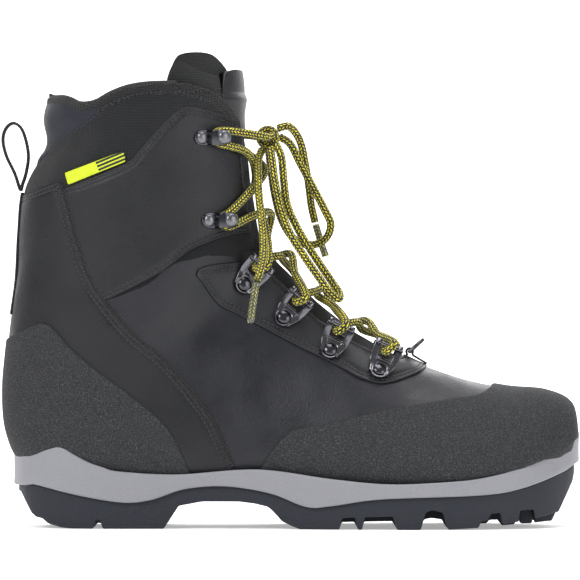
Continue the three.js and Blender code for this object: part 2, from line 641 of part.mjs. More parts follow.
// underside of the outsole, from heel to toe: heel block, waist, lugs and toe spring
const tread = [[heelEnd, 18], [-143.2, 19], [-140.2, 13.8], [-137, 8], [-134.4, 5.8], [-131, 5.2], [-128, 2.6],
  [-121, 0.6], [-115, 0], [-104, 0], [-102.6, 4.6], [-100.4, 4.6], [-99, 0], [-67, 0], [-59.1, 12], [-46.9, 14.3],
  [-27.3, 14.3], [-19.3, 13.3], [-12.5, 11.7], [-9.8, 9.5], [-5, 4.2], [0.3, 1.6], [4.5, 0], [25, 0], [26.6, 6],
  [33, 6.4], [34.6, 0], [36.8, 0], [38.4, 6.6], [53, 7], [55, 0], [67.4, 0], [70, 9], [73.4, 10.4], [79, 9], [81.6, 0.2],
  [97.6, 1], [99, 4.4], [102.6, 4.8], [104.2, 8.4], [109, 8.6], [110.6, 2.6], [119, 4], [119.6, 9.8], [126.8, 10],
  [127.6, 5.4], [136, 7.4], [140.7, 8.5], [142.3, 11.7], [145.5, 18], [148.7, 24.4], [149.7, 28.6], [toeEnd, 40]];

function outsole() {
  const top = shifted(midsoleBottom, -clearance);
  const outline = [...tread.map(onBoot), ...top.reverse()];
  let body = prism(outline).intersect(soleSlab(outsoleInset));
  const groove = (y) => block(150 * lengthScale, 9, 10, 68 * lengthScale, y * widthScale, 0.4);
  body = body.subtract(groove(-17)).subtract(groove(15));
  body = body.subtract(block(24, 11, 8, -86 * lengthScale, 0, 0));
  const bar = crossRod(barDiameter / 2 + clearance, barLength + 2 * clearance, barPlace.x * lengthScale, barPlace.y, 12);
  const bossSize = barDiameter + 2 * (clearance + barWall);
  const boss = block(bossSize, 12, bossSize + 3, barPlace.x * lengthScale, 0, barPlace.y + 1.5);
  const ears = boss.translate([0, -barLength / 2 + 3, 0]).add(boss.translate([0, barLength / 2 - 3, 0]));
  return largest(body.add(ears.intersect(soleSlab(outsoleInset))).subtract(bar));
}

function midsole() {
  const top = [...midsoleTop].reverse();
  const body = prism([...midsoleBottom, ...top]).intersect(soleSlab(0));
  return largest(body.subtract(lastSolid(boardLayer[1] + clearance)));
}

function shank() {
  const under = smooth([[-108, 27.8], [-85, 25.6], [-60, 24.6], [-30, 25.4], [-14, 26.2], [10, 23.8], [32, 21.6]], 8);
  const low = shifted(under, -shankDepth);
  const high = shifted(under, shankThickness - shankDepth);
  const half = shankWidth / 2 * widthScale;
  return prism([...low, ...high.reverse()], -half, half);
}

function shankPocket() {
  const under = smooth([[-109, 27.9], [-85, 25.6], [-60, 24.6], [-30, 25.4], [-14, 26.2], [10, 23.8], [33, 21.5]], 8);
  const low = shifted(under, -boardLayer[1] - 3);
  const high = shifted(under, shankThickness - shankDepth + clearance);
  const half = shankWidth / 2 * widthScale + clearance;
  return prism([...low, ...high.reverse()], -half, half);
}

function insole() {
  const top = lastSolid(liningLayer[0] - clearance);
  const slab = top.subtract(top.translate([0, 0, insoleThickness]));
  return largest(slab.intersect(sideOf(shifted(seams.feather, 12), 'down', 0)));
}

// ---------------------------------------------------------------- collar edge, loop, rings, tab
function collarBinding() {
  const half = [];
  for (let i = 0; i <= 14; i += 1) {
    const x = -67 - 64 * Math.sin(Math.PI / 2 * i / 14);
    const top = seams.collar.reduce((best, p) => (Math.abs(p.x - x * lengthScale)
      < Math.abs(best.x - x * lengthScale) ? p : best));
    half.push({ x, z: offBoot(top.y) - bindingRadius });
  }
  const middle = -(leatherThickness + bindingRadius) / 2;
  const seat = (row, side) => {
    const { point, normal } = seatAt(row.x, row.z, side);
    return point.addScaledVector(normal, middle);
  };
  const lateral = half.slice(0, -1).map((row) => seat(row, -1));
  const medial = half.slice(0, -1).map((row) => seat(row, 1)).reverse();
  const rear = seatAt(-131, 226, -1);
  const centre = rear.point.addScaledVector(rear.normal, middle).setY(0);
  const section = new THREE.Shape(Array.from({ length: 6 }, (_, i) => xz(
    bindingRadius * Math.cos(Math.PI * i / 3), bindingRadius * Math.sin(Math.PI * i / 3))));
  return tube([...lateral, centre, ...medial], 1, section);
}

// a closed band of webbing, standing on its sewn end
function pullLoop() {
  const points = [[-142.6, 177.2], [-147.4, 186], [-152, 196], [-153.7, 204.6], [-152, 211.4], [-147.4, 214.4],
    [-142.8, 211.6], [-139.8, 204], [-138.6, 195.6], [-139.8, 187], [-141.2, 180.4]].map(onBoot);
  const half = webbingWidth / 2;
  const opening = drawnIn(closedLine(points.slice(1, -1), 24), webbingThickness);
  return prism(closedLine(points, 30), -half, half).subtract(prism(opening, -half - 1, half + 1));
}

const ringPivot = new THREE.Vector2(62.6, 92.6);
const ringWireRadius = 1;
const ringBarLength = 11;

// wire ring with a straight bar through the tab and a round nose
function gaiterRing() {
  const half = ringBarLength / 2;
  const nose = [];
  for (let i = 0; i <= 8; i += 1) {
    const turn = Math.PI * i / 8;
    nose.push(new THREE.Vector3(2 + 7.5 * Math.sin(turn), half * Math.cos(turn), 0));
  }
  const wire = new THREE.Shape(Array.from({ length: 6 }, (_, i) => xz(
    ringWireRadius * Math.cos(Math.PI * i / 3), ringWireRadius * Math.sin(Math.PI * i / 3))));
  const bow = tube([new THREE.Vector3(0, half, 0), ...nose, new THREE.Vector3(0, -half, 0)], 1, wire);
  const bar = crossRod(ringWireRadius, ringBarLength + 2, 0, 0, 10);
  const turned = bow.add(bar).rotate([0, -42, 0]);
  return turned.translate([ringPivot.x * lengthScale, 0, ringPivot.y]);
}

// leather tab stitched to the vamp, folded round the ring's bar
function gaiterTab() {
  const hold = ringWireRadius + clearance;
  const x = ringPivot.x;
  const z = ringPivot.y;
  const points = [];
  for (let i = 0; i <= 10; i += 1) {
    const turn = Math.PI * (1.15 - 1.25 * i / 10);
    points.push([x + (hold + 1.3) * Math.cos(turn), z + (hold + 1.3) * Math.sin(turn)]);
  }
  points.push([x + 9, z - 5.7]);
  points.push([x + 9, z - 7]);
  points.push([x - 3, z - 1.6]);
  const body = prism(points.map(onBoot).reverse(), -3.6, 3.6);
  const hole = crossRod(hold, 20, x * lengthScale, z, 12);
  return largest(body.subtract(hole).subtract(lastSolid(boardLayer[1] + clearance)));
}

function sideLabel() {
  const outline = [[-118.4, 186.4], [-116.6, 180.4], [-86.4, 192.6], [-88, 198]].map(onBoot);
  const layer = lastSolid(clearance + 0.8).subtract(lastSolid(clearance));
  return largest(layer.intersect(prism(outline, -90, 0)));
}

function tongueTab() {
  const outline = [[-38, 239.6], [-32, 241.4], [-20, 241], [-16, 212], [-25, 210], [-33, 215], [-36, 227]].map(onBoot);
  const top = tongueLayer[1];
  return shell([top + clearance, top + clearance + overlayThickness], prism(outline));
}

function backstay() {
  const outline = prism([[-175, 172.5], [-133, 175], [-133, 112], [-175, 112]].map(onBoot).reverse(), -4.5, 4.5);
  return shell(overlayLayer, outline);
}

// ---------------------------------------------------------------- materials
const finishes = {
  leather: { color: 0x37383e, roughness: 0.55, metalness: 0 },
  rand: { color: 0x3c3e40, roughness: 0.85, metalness: 0 },
  textile: { color: 0x303134, roughness: 0.95, metalness: 0 },
  lycra: { color: 0x323441, roughness: 0.8, metalness: 0 },
  lining: { color: 0x2b2b2d, roughness: 0.95, metalness: 0 },
  board: { color: 0x6b5a45, roughness: 0.9, metalness: 0 },
  stiffener: { color: 0x1d1d1f, roughness: 0.6, metalness: 0 },
  foam: { color: 0xa0a0a5, roughness: 0.6, metalness: 0 },
  rubber: { color: 0x3c3f4a, roughness: 0.75, metalness: 0 },
  steel: { color: 0xb4b6b8, roughness: 0.3, metalness: 1 },
  gunmetal: { color: 0x50525a, roughness: 0.25, metalness: 1 },
  lace: { color: 0xe6dc2a, roughness: 0.9, metalness: 0 },
  label: { color: 0xe1f01e, roughness: 0.6, metalness: 0 },
  clear: { color: 0xd8dccb, roughness: 0.15, metalness: 0 },
};

const boot = new THREE.Group();

function addPiece(name, body, finish, matrix) {
  const mesh = new THREE.Mesh(toGeometry(body), new THREE.MeshStandardMaterial(finishes[finish]));
  mesh.name = name;
  if (matrix) {
    mesh.applyMatrix4(matrix);
  }
  boot.add(mesh);
}

// sole unit
addPiece('outsole', outsole(), 'rubber');
addPiece('midsole', midsole(), 'foam');
addPiece('binding_bar', crossRod(barDiameter / 2, barLength, barPlace.x * lengthScale, barPlace.y, 12), 'steel');
addPiece('shank_plate', shank(), 'stiffener');
addPiece('lasting_board', largest(shell(boardLayer, belowFeather).subtract(shankPocket())), 'board');
addPiece('insole', insole(), 'textile');

// stiffeners and lining
const counterFront = smooth([[-84, 10], [-82, 45], [-92, 75], [-112, 95], [-140, 108], [heelEnd, 112]], 10);
addPiece('heel_counter', shell(stiffenerLayer, aboveFeather, sideOf(counterFront, 'back', 0)), 'stiffener');
const puffBack = smooth([[106, 10], [104, 50], [110, 90]], 6);
addPiece('toe_puff', shell(stiffenerLayer, aboveFeather, sideOf(puffBack, 'front', 0)), 'stiffener');
addPiece('bootie_lining', shell(liningLayer, belowCollar, behindTongue), 'lining');

// leather and textile panels of the upper
// the woven cuff's upper front corner falls away towards the laces
const cuffFall = smooth([[-62, 240], [-55, 233.8], [-47, 231.3], [-40, 228.6], [-34, 224], [-29.5, 217.5], [-25, 209],
  [-20, 190]]);
const belowFlex = sideOf(seams.flexBottom, 'down');
const vamp = shell(leatherLayer, aboveFeather, frontOfHeelSeam, belowFlex, behindThroat);
addPiece('vamp', pierced(vamp), 'leather');
sides.forEach(({ name, sign }) => {
  const half = sign < 0 ? rightHalf : leftHalf;
  const heel = shell(leatherLayer, half, aboveFeather, behindHeelSeam, sideOf(seams.heelTop, 'down'));
  const cuff = shell(leatherLayer, half, frontOfHeelSeam, behindThroat, sideOf(seams.cuffTop, 'down'),
    sideOf(seams.cuffBottom, 'up'));
  const flexLayer = [-leatherThickness - 0.1, -flexRecess];
  const flex = shell(flexLayer, half, frontOfHeelSeam, behindThroat, sideOf(seams.flexBottom, 'up'),
    sideOf(seams.cuffBottom, 'down'));
  const woven = shell(leatherLayer, half, belowCollar, sideOf(seams.cuffTop, 'up'), sideOf(seams.heelTop, 'up'),
    sideOf(seams.rearCollar, 'front'), sideOf(cuffFall, 'down'), behindThroat);
  addPiece(`heel_quarter_${name}`, heel, 'leather');
  addPiece(`cuff_quarter_${name}`, pierced(cuff), 'leather');
  addPiece(`ankle_flex_panel_${name}`, flex, 'textile');
  addPiece(`woven_cuff_${name}`, woven, 'textile');
});

const rearCollarTop = sideOf(seams.rearCollar, 'back');
addPiece('rear_collar', shell(leatherLayer, belowCollar, sideOf(seams.heelTop, 'up'), rearCollarTop), 'lycra');
addPiece('collar_binding', collarBinding(), 'textile');

// overlays
addPiece('heel_rand', shell(overlayLayer, aboveFeather, sideOf(seams.heelRandTop, 'down', 0)), 'rand');
addPiece('toe_rand', shell(overlayLayer, aboveFeather, sideOf(seams.toeRandTop, 'down', 0)), 'rand');
const eyestayOutline = prism([...throatLine.filter((p) => p.y < onBoot([0, 139]).y), ...smooth([[-14, 139.5],
  [-30, 139.8], [-44, 138], [-50.2, 134.4], [-46, 127.5], [-38.5, 117.6], [-30, 113], [-21.1, 108.4], [-7.9, 101.4],
  [5.4, 94.3], [18.7, 88.1], [28.4, 82.8], [37.4, 78.2], [49.6, 76], [68.1, 82], [76, 90]], 24)]);
sides.forEach(({ name, sign }) => {
  const half = sign < 0 ? rightHalf : leftHalf;
  addPiece(`eyestay_${name}`, pierced(shell(overlayLayer, half, eyestayOutline, behindThroat)), 'leather');
});
addPiece('backstay_strip', backstay(), 'textile');
addPiece('side_label', sideLabel(), 'label');

// tongue and its tab, pull loop, gaiter ring
addPiece('tongue', shell(tongueLayer, tongueOutline), 'textile');
addPiece('tongue_tab', tongueTab(), 'leather');
addPiece('pull_loop', pullLoop(), 'textile');
addPiece('gaiter_tab', gaiterTab(), 'leather');
addPiece('gaiter_ring', gaiterRing(), 'gunmetal');

// lace fittings
const bracketBody = loopBracket();
const rivetBody = rivet();
const hookBody = speedHook();
fittings.forEach(({ name, side, kind, frame }) => {
  if (kind === 'loop') {
    addPiece(`lace_${name}_${side.name}`, bracketBody, 'gunmetal', frame);
    addPiece(`rivet_${name}_${side.name}`, rivetBody, 'gunmetal', frame);
  } else {
    addPiece(`speed_${name}_${side.name}`, hookBody, 'gunmetal', frame);
  }
});

// laces
addPiece('lace_run', tube(lacedRun()), 'lace');
const knot = new THREE.SphereGeometry(1, 12, 8).scale(...knotSize.toArray()).translate(...knotCentre.toArray());
addPiece('lace_knot', solid(knot), 'lace');
addPiece('bow_loop_near', tube(bowLoopNear), 'lace');
addPiece('bow_loop_far', tube(bowLoopFar), 'lace');
addPiece('lace_tail_near', tube(tailNear), 'lace');
addPiece('lace_tail_far', tube(tailFar), 'lace');
addPiece('aglet_near', tube(aglets[0]), 'clear');
addPiece('aglet_far', tube(aglets[1]), 'clear');

export default boot;
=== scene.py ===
import json
import math
import bpy
import numpy as np
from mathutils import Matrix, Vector

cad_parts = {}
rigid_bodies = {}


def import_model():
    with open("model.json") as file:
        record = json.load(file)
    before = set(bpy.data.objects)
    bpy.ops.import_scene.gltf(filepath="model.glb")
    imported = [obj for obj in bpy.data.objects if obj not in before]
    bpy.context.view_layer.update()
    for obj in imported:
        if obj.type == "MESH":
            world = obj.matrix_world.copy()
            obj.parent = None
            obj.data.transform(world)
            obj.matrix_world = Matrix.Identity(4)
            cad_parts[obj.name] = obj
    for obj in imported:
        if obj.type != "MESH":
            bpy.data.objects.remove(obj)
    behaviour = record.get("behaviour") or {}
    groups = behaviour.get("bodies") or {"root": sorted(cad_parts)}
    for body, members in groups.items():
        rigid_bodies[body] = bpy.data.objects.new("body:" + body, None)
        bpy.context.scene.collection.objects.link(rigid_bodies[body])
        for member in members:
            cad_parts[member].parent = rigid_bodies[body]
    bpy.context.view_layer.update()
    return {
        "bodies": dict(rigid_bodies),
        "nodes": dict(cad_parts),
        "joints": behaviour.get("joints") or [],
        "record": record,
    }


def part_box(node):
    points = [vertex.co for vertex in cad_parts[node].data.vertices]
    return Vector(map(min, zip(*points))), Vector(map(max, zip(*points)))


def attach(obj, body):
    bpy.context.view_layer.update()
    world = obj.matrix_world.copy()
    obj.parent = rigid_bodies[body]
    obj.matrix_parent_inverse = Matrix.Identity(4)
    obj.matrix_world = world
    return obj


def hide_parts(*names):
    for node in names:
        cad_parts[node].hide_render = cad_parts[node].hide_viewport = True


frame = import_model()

soleLow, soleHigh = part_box("midsole")
mm = (soleHigh.x - soleLow.x) / 299.4  # one millimetre of the boot in scene units

# camera, floor and lights
studio = {
    "cameraDistance": 3.2,
    "frameWidth": 307.4,
    "frameCentre": (-0.8, 125.2),
    "floorSize": 6.0,
    "worldStrength": 0.42,
}


def makeCamera():
    cameraData = bpy.data.cameras.new("camera")
    camera = bpy.data.objects.new("camera", cameraData)
    bpy.context.scene.collection.objects.link(camera)
    centreX, centreZ = studio["frameCentre"]
    camera.location = (centreX * mm, -studio["cameraDistance"], centreZ * mm)
    camera.rotation_euler = (math.pi / 2, 0, 0)
    cameraData.sensor_width = 36
    cameraData.lens = 36 * studio["cameraDistance"] / (studio["frameWidth"] * mm)
    cameraData.clip_end = 50
    bpy.context.scene.camera = camera
    return camera


def makeLight(name, place, size, power, colour=(1, 1, 1)):
    lightData = bpy.data.lights.new(name, "AREA")
    lightData.shape = "RECTANGLE"
    lightData.size, lightData.size_y = size
    lightData.energy = power
    lightData.color = colour
    light = bpy.data.objects.new(name, lightData)
    bpy.context.scene.collection.objects.link(light)
    light.location = place
    aim = Vector((0, 0, 0.1)) - Vector(place)
    light.rotation_euler = aim.to_track_quat("-Z", "Y").to_euler()
    return light


makeCamera()
print("camera ready")

# the form of the foot, in millimetres: front point, back point, half widths, fullness at the back and front
lastForm = {
    "stations": [
        (150.3, 51, 150.3, 45, 10, 11, 0.5, 0.5),
        (147.5, 65, 147, 37.5, 21.5, 23, 0.25, 0.45),
        (134, 71.5, 134, 31, 34.5, 36, 0.15, 0.46),
        (115, 73.3, 115, 25.8, 44.5, 44.5, 0.11, 0.48),
        (92, 77.8, 92, 22, 50.5, 47.5, 0.1, 0.5),
        (66, 87, 65, 20.6, 50.5, 45.5, 0.1, 0.5),
        (38, 102.5, 28, 21.8, 45.5, 40.5, 0.1, 0.5),
        (14, 120.5, -14, 26.2, 39, 35.5, 0.1, 0.5),
        (-2, 136.5, -60, 24.6, 36.5, 34.5, 0.11, 0.5),
        (-10, 146, -112, 27.8, 36.5, 35.5, 0.15, 0.5),
        (-14, 152, -139, 33.5, 37, 36.5, 0.3, 0.5),
        (-16, 159, -149, 50, 38, 37.5, 0.46, 0.5),
        (-17.5, 167, -151.3, 72, 39, 38.5, 0.5, 0.5),
        (-19.5, 180, -148.2, 105, 39.5, 39, 0.5, 0.5),
        (-21, 192, -144.8, 130, 39.5, 39.5, 0.5, 0.5),
        (-23, 205, -143.4, 155, 39.5, 39.5, 0.5, 0.5),
        (-24, 217, -141, 178, 40, 40, 0.5, 0.5),
        (-22.5, 230, -132, 199, 40.5, 40.5, 0.5, 0.5),
        (-24, 243, -129.5, 218, 41, 41, 0.5, 0.5),
        (-28.5, 258, -127, 240, 41, 41, 0.5, 0.5),
    ],
    "gridStep": 1.5,
    "columns": 168,
}
stationRows = np.array(lastForm["stations"], float)


def stationAt(place):
    place = np.asarray(place, float)
    last = len(stationRows) - 1
    index = np.clip(np.floor(place).astype(int), 0, last - 1)
    t = (place - index)[..., None]
    rows = [stationRows[np.clip(index + k, 0, last)] for k in (-1, 0, 1, 2)]
    return 0.5 * (2 * rows[1] + (rows[2] - rows[0]) * t
                  + (2 * rows[0] - 5 * rows[1] + 4 * rows[2] - rows[3]) * t ** 2
                  + (3 * rows[1] - rows[0] - 3 * rows[2] + rows[3]) * t ** 3)


def bottomPacking(backFill):
    return 1 + (0.5 - np.minimum(backFill, 0.5)) * 1.8


def pointAt(place, angle):
    row = stationAt(place)
    angle = np.asarray(angle, float)
    frontX, frontZ, backX, backZ, outer, inner, backFill, frontFill = np.moveaxis(row, -1, 0)
    share = np.clip((1 - np.cos(angle)) / 2, 0, 1) ** bottomPacking(backFill)
    widest = backFill / (backFill + frontFill)
    fullness = (share / widest) ** backFill * ((1 - share) / (1 - widest)) ** frontFill
    y = np.where(np.sin(angle) > 0, -outer, inner) * fullness
    return np.stack([backX + (frontX - backX) * share, y, backZ + (frontZ - backZ) * share], -1)


def normalAt(place, angle):
    last = len(stationRows) - 1
    place = np.asarray(place, float)
    step = 0.06
    along = pointAt(np.minimum(place + step, last), angle) - pointAt(np.maximum(place - step, 0), angle)
    around = pointAt(place, angle + step) - pointAt(place, angle - step)
    normal = np.cross(around, along)
    return normal / np.maximum(np.linalg.norm(normal, axis=-1, keepdims=True), 1e-9)


def placeOf(x, z):
    low, high = 0.0, len(stationRows) - 1.0
    for _ in range(40):
        middle = (low + high) / 2
        frontX, frontZ, backX, backZ = stationAt(middle)[:4]
        if (frontX - backX) * (z - backZ) - (frontZ - backZ) * (x - backX) > 0:
            low = middle
        else:
            high = middle
    frontX, frontZ, backX, backZ, _, _, backFill, _ = stationAt(low)
    spanX, spanZ = frontX - backX, frontZ - backZ
    share = ((x - backX) * spanX + (z - backZ) * spanZ) / (spanX ** 2 + spanZ ** 2)
    share = min(max(share, 0), 1) ** (1 / bottomPacking(backFill))
    return low, math.acos(1 - 2 * share)


def seatAt(x, z, side):
    place, angle = placeOf(x, z)
    around = angle if side < 0 else 2 * math.pi - angle
    return pointAt(place, around), normalAt(place, around)


# the whole skin as a fine grid: columns are x y z, normal, u v
def makeSkin():
    coarse = np.linspace(0, len(stationRows) - 1, 400)
    edge = np.stack([pointAt(coarse, np.full(400, a)) for a in (0.0, math.pi / 2, math.pi)])
    stepLength = np.linalg.norm(np.diff(edge, axis=1), axis=2).max(0)
    run = np.concatenate([[0], np.cumsum(stepLength)])
    places = np.interp(np.arange(0, run[-1], lastForm["gridStep"]), run, coarse)
    places = np.append(places, len(stationRows) - 1.0)
    columns = lastForm["columns"]
    angles = np.arange(columns) * 2 * math.pi / columns
    placeGrid, angleGrid = np.meshgrid(places, angles, indexing="ij")
    points = pointAt(placeGrid, angleGrid)
    normals = normalAt(placeGrid, angleGrid)
    blendIn = np.clip(np.arange(len(places)) / 3.0, 0, 1)[:, None, None]
    normals = normals * blendIn + np.array([1.0, 0, 0]) * (1 - blendIn)
    normals /= np.linalg.norm(normals, axis=2, keepdims=True)
    ringStep = np.linalg.norm(np.diff(points, axis=0), axis=2)
    v = np.concatenate([np.zeros((1, columns)), np.cumsum(ringStep, 0)])
    v = v * 0.35 + v.mean(1, keepdims=True) * 0.65
    sideStep = np.linalg.norm(points - np.roll(points, 1, axis=1), axis=2)
    u = np.cumsum(sideStep, 1)
    u -= u[:, columns // 2][:, None]
    table = np.concatenate([points, normals, u[..., None], v[..., None]], 2).reshape(-1, 8)
    ringIndex, columnIndex = np.meshgrid(np.arange(len(places) - 1), np.arange(columns), indexing="ij")
    a = (ringIndex * columns + columnIndex).ravel()
    b = (ringIndex * columns + (columnIndex + 1) % columns).ravel()
    c, d = b + columns, a + columns
    even = ((ringIndex + columnIndex) % 2 == 0).ravel()
    first = np.where(even[:, None], np.stack([a, b, c], 1), np.stack([a, b, d], 1))
    second = np.where(even[:, None], np.stack([a, c, d], 1), np.stack([b, c, d], 1))
    tip = table[:columns].mean(0)
    tip[3:6] = (1, 0, 0)
    table = np.vstack([table, tip])
    ring = np.arange(columns)
    cap = np.stack([np.full(columns, len(table) - 1), (ring + 1) % columns, ring], 1)
    return table, np.vstack([first, second, cap])


skinTable, skinFaces = makeSkin()
print("foot form ready:", len(skinTable), "points")


# seam lines seen from the side
def smoothLine(points, perSpan=8):
    points = np.array(points, float)
    last = len(points) - 1
    line = []
    for i in range(last):
        p0, p1, p2, p3 = (points[min(max(i + k, 0), last)] for k in (-1, 0, 1, 2))
        for t in np.arange(perSpan) / perSpan:
            line.append(0.5 * (2 * p1 + (p2 - p0) * t + (2 * p0 - 5 * p1 + 4 * p2 - p3) * t * t
                               + (3 * p1 - p0 - 3 * p2 + p3) * t ** 3))
    line.append(points[-1])
    return np.array(line)


far = 260
seams = {
    "feather": smoothLine([(-175, 38), (-150, 38), (-128, 35), (-107, 31), (-90, 28), (-60, 27.2), (-18, 28.6),
                           (20, 25), (50, 22.6), (75, 22.8), (98, 24.8), (120, 29.6), (136, 36), (148, 43.5),
                           (170, 48)]),
    "heelSeam": smoothLine([(-127, 198), (-121.6, 182.3), (-117.4, 168), (-112.1, 148.9), (-104.1, 127.7),
                            (-85.6, 103.9), (-67, 88), (-51.1, 69.4), (-42.1, 57), (-35, 42), (-28.9, 28),
                            (-24, 12)]),
    "heelTop": smoothLine([(-175, 165.5), (-141.2, 175.4), (-121.6, 182.3), (-110, 181)]),
    "cuffTop": smoothLine([(-142, 174), (-119, 179.1), (-88.2, 191.3), (-80.5, 198), (-69.7, 209.9), (-59.1, 220),
                           (-53.8, 222), (-40.5, 219.4), (-24.6, 214.1), (-8, 209)]),
    "cuffBottom": smoothLine([(-122, 110), (-95.7, 120.3), (-80.3, 127.7), (-67, 135.2), (-53.8, 145.2),
                              (-43.2, 150), (-33.7, 153.4), (-24.6, 154.8), (-6, 156)]),
    "flexBottom": smoothLine([(-122, 108.8), (-95.7, 118.7), (-67, 131.7), (-59, 136.5), (-51, 138), (-40.5, 141),
                              (-30, 142), (-12, 142)]),
    "collar": smoothLine([(-165, 230), (-133, 228), (-120.6, 227.4), (-112.1, 224), (-103.6, 224.7),
                          (-95.1, 229), (-86.7, 232.1), (-78.2, 233.7), (-69.7, 234.3), (-58, 234.5), (-10, 235)]),
    "rearCollar": smoothLine([(-160, 172), (-136, 190), (-130.1, 196.6), (-120, 203), (-109.4, 209.9),
                              (-101.5, 215.2), (-97.8, 221.5), (-94, 245)]),
    "heelRandTop": smoothLine([(-175, 76), (-151.8, 97), (-140.2, 103.9), (-128, 107.5), (-116.3, 95.9),
                               (-103.1, 84.3), (-85.6, 71), (-67, 55.1), (-58.5, 42), (-49, 20)]),
    "toeRandTop": smoothLine([(-22, 14), (-16, 32), (-9, 42.5), (-0.8, 50.9), (9.8, 53.5), (23.1, 56.2),
                              (52.2, 62.5), (84, 67.8), (100, 70.5), (116, 82)]),
    "throat": smoothLine([(64, 96), (57, 89.5), (44, 92), (27, 100.5), (10, 112.5), (-2, 125), (-11, 134.5),
                          (-17, 145), (-22, 160), (-24.5, 178), (-26.5, 199), (-28, 225), (-29, 258)]),
    "tongueBack": smoothLine([(-64, 236), (-63, 215), (-58, 192), (-50, 170), (-38, 150), (-22, 132), (-4, 114),
                              (16, 97), (34, 85), (52, 79), (72, 80)]),
    "tongueTop": smoothLine([(-22, 232), (-26.5, 240.5), (-31, 246.5), (-37, 250.6), (-46, 251.2), (-56, 249.1),
                             (-61.7, 241.7), (-64, 236)]),
}


def distanceTo(line, x, z, chunk=4000):
    a, b = line[:-1], line[1:]
    span = b - a
    lengthSq = np.maximum((span ** 2).sum(1), 1e-9)
    best = np.empty(len(x))
    gradient = np.empty((len(x), 2))
    for start in range(0, len(x), chunk):
        p = np.stack([x[start:start + chunk], z[start:start + chunk]], 1)[:, None, :]
        t = np.clip(((p - a) * span).sum(2) / lengthSq, 0, 1)
        away = p - (a + span * t[..., None])
        length = np.sqrt((away ** 2).sum(2))
        pick = length.argmin(1)
        rows = np.arange(len(pick))
        best[start:start + chunk] = length[rows, pick]
        gradient[start:start + chunk] = away[rows, pick] / np.maximum(length[rows, pick], 1e-6)[:, None]
    return best, gradient


def insideOf(outline, x, z):
    inside = np.zeros(len(x), bool)
    ahead = np.roll(outline, -1, axis=0)
    for (ax, az), (bx, bz) in zip(outline, ahead):
        crosses = (az > z) != (bz > z)
        inside ^= crosses & (x < (bx - ax) * (z - az) / (bz - az if bz != az else 1e-9) + ax)
    return inside


def leanOf(table, gradient):
    lean = table[:, 3] * gradient[:, 0] + table[:, 5] * gradient[:, 1]
    return np.sqrt(np.clip(1 - lean ** 2, 0.09, 1))


# depth inside a closed side-view outline, measured along the skin
def outlineField(outline, table):
    x, z = table[:, 0], table[:, 2]
    distance, gradient = distanceTo(np.vstack([outline, outline[:1]]), x, z)
    depth = distance / leanOf(table, gradient)
    return np.where(insideOf(outline, x, z), depth, -depth)


# signed distance from a seam, positive on the left of the way it runs
def seamField(line, table):
    first, last = line[0] - line[1], line[-1] - line[-2]
    first, last = first / np.linalg.norm(first) * far, last / np.linalg.norm(last) * far
    line = np.vstack([line[0] + first, line, line[-1] + last])
    x, z = table[:, 0], table[:, 2]
    a, b = line[:-1], line[1:]
    span = b - a
    result = np.empty(len(x))
    for start in range(0, len(x), 4000):
        p = np.stack([x[start:start + 4000], z[start:start + 4000]], 1)[:, None, :]
        t = np.clip(((p - a) * span).sum(2) / (span ** 2).sum(1), 0, 1)
        away = p - (a + span * t[..., None])
        length = np.sqrt((away ** 2).sum(2))
        pick = length.argmin(1)
        rows = np.arange(len(pick))
        off, along = away[rows, pick], span[pick]
        turn = along[:, 0] * off[:, 1] - along[:, 1] * off[:, 0]
        size = length[rows, pick]
        lean = leanOf(table[start:start + 4000], off / np.maximum(size, 1e-6)[:, None])
        result[start:start + 4000] = np.sign(turn) * size / lean
    return result


seamFields = {}


def skinField(name):
    if name not in seamFields:
        seamFields[name] = seamField(seams[name], skinTable)
    return seamFields[name]


# rules are seam name, side kept (1 left, -1 right) and how far the panel stops short of the seam
def regionField(rules):
    return np.min([skinField(name) * keep - short for name, keep, short in rules], axis=0)


# splits the faces along one level of a column; drop leaves out what is below it
def cutAt(table, faces, column, level, drop):
    table = table.copy()
    value = table[:, column] - level
    near = np.abs(value) < 0.06
    table[near, column] = level
    value[near] = 0
    side = np.sign(value).astype(int)
    corner = side[faces]
    above, below = (corner > 0).any(1), (corner < 0).any(1)
    mixed = above & below
    kept = faces[~mixed & (~below | (not drop))]
    if drop:
        kept = kept[(side[kept] >= 0).all(1)]
    added, newRows, seen = [], [], {}
    count = len(table)

    def crossing(i, j):
        key = (i, j) if i < j else (j, i)
        if key not in seen:
            t = value[i] / (value[i] - value[j])
            row = table[i] * (1 - t) + table[j] * t
            row[column] = level
            seen[key] = count + len(newRows)
            newRows.append(row)
        return seen[key]

    for face in faces[mixed].tolist():
        for wanted in ((1,) if drop else (1, -1)):
            loop = []
            for k in range(3):
                i, j = face[k], face[(k + 1) % 3]
                if side[i] * wanted >= 0:
                    loop.append(i)
                if side[i] * side[j] < 0:
                    loop.append(crossing(i, j))
            for k in range(1, len(loop) - 1):
                added.append((loop[0], loop[k], loop[k + 1]))
    if newRows:
        table = np.vstack([table, np.array(newRows)])
    if added:
        kept = np.vstack([kept, np.array(added, int)])
    return table, kept


def usedOnly(table, faces):
    used, inverse = np.unique(faces, return_inverse=True)
    return table[used], inverse.reshape(-1, 3)


def openEdges(faces):
    edges = np.vstack([faces[:, [0, 1]], faces[:, [1, 2]], faces[:, [2, 0]]])
    pairs = {}
    for a, b in edges.tolist():
        pairs[(a, b)] = True
    return [(a, b) for a, b in pairs if (b, a) not in pairs]


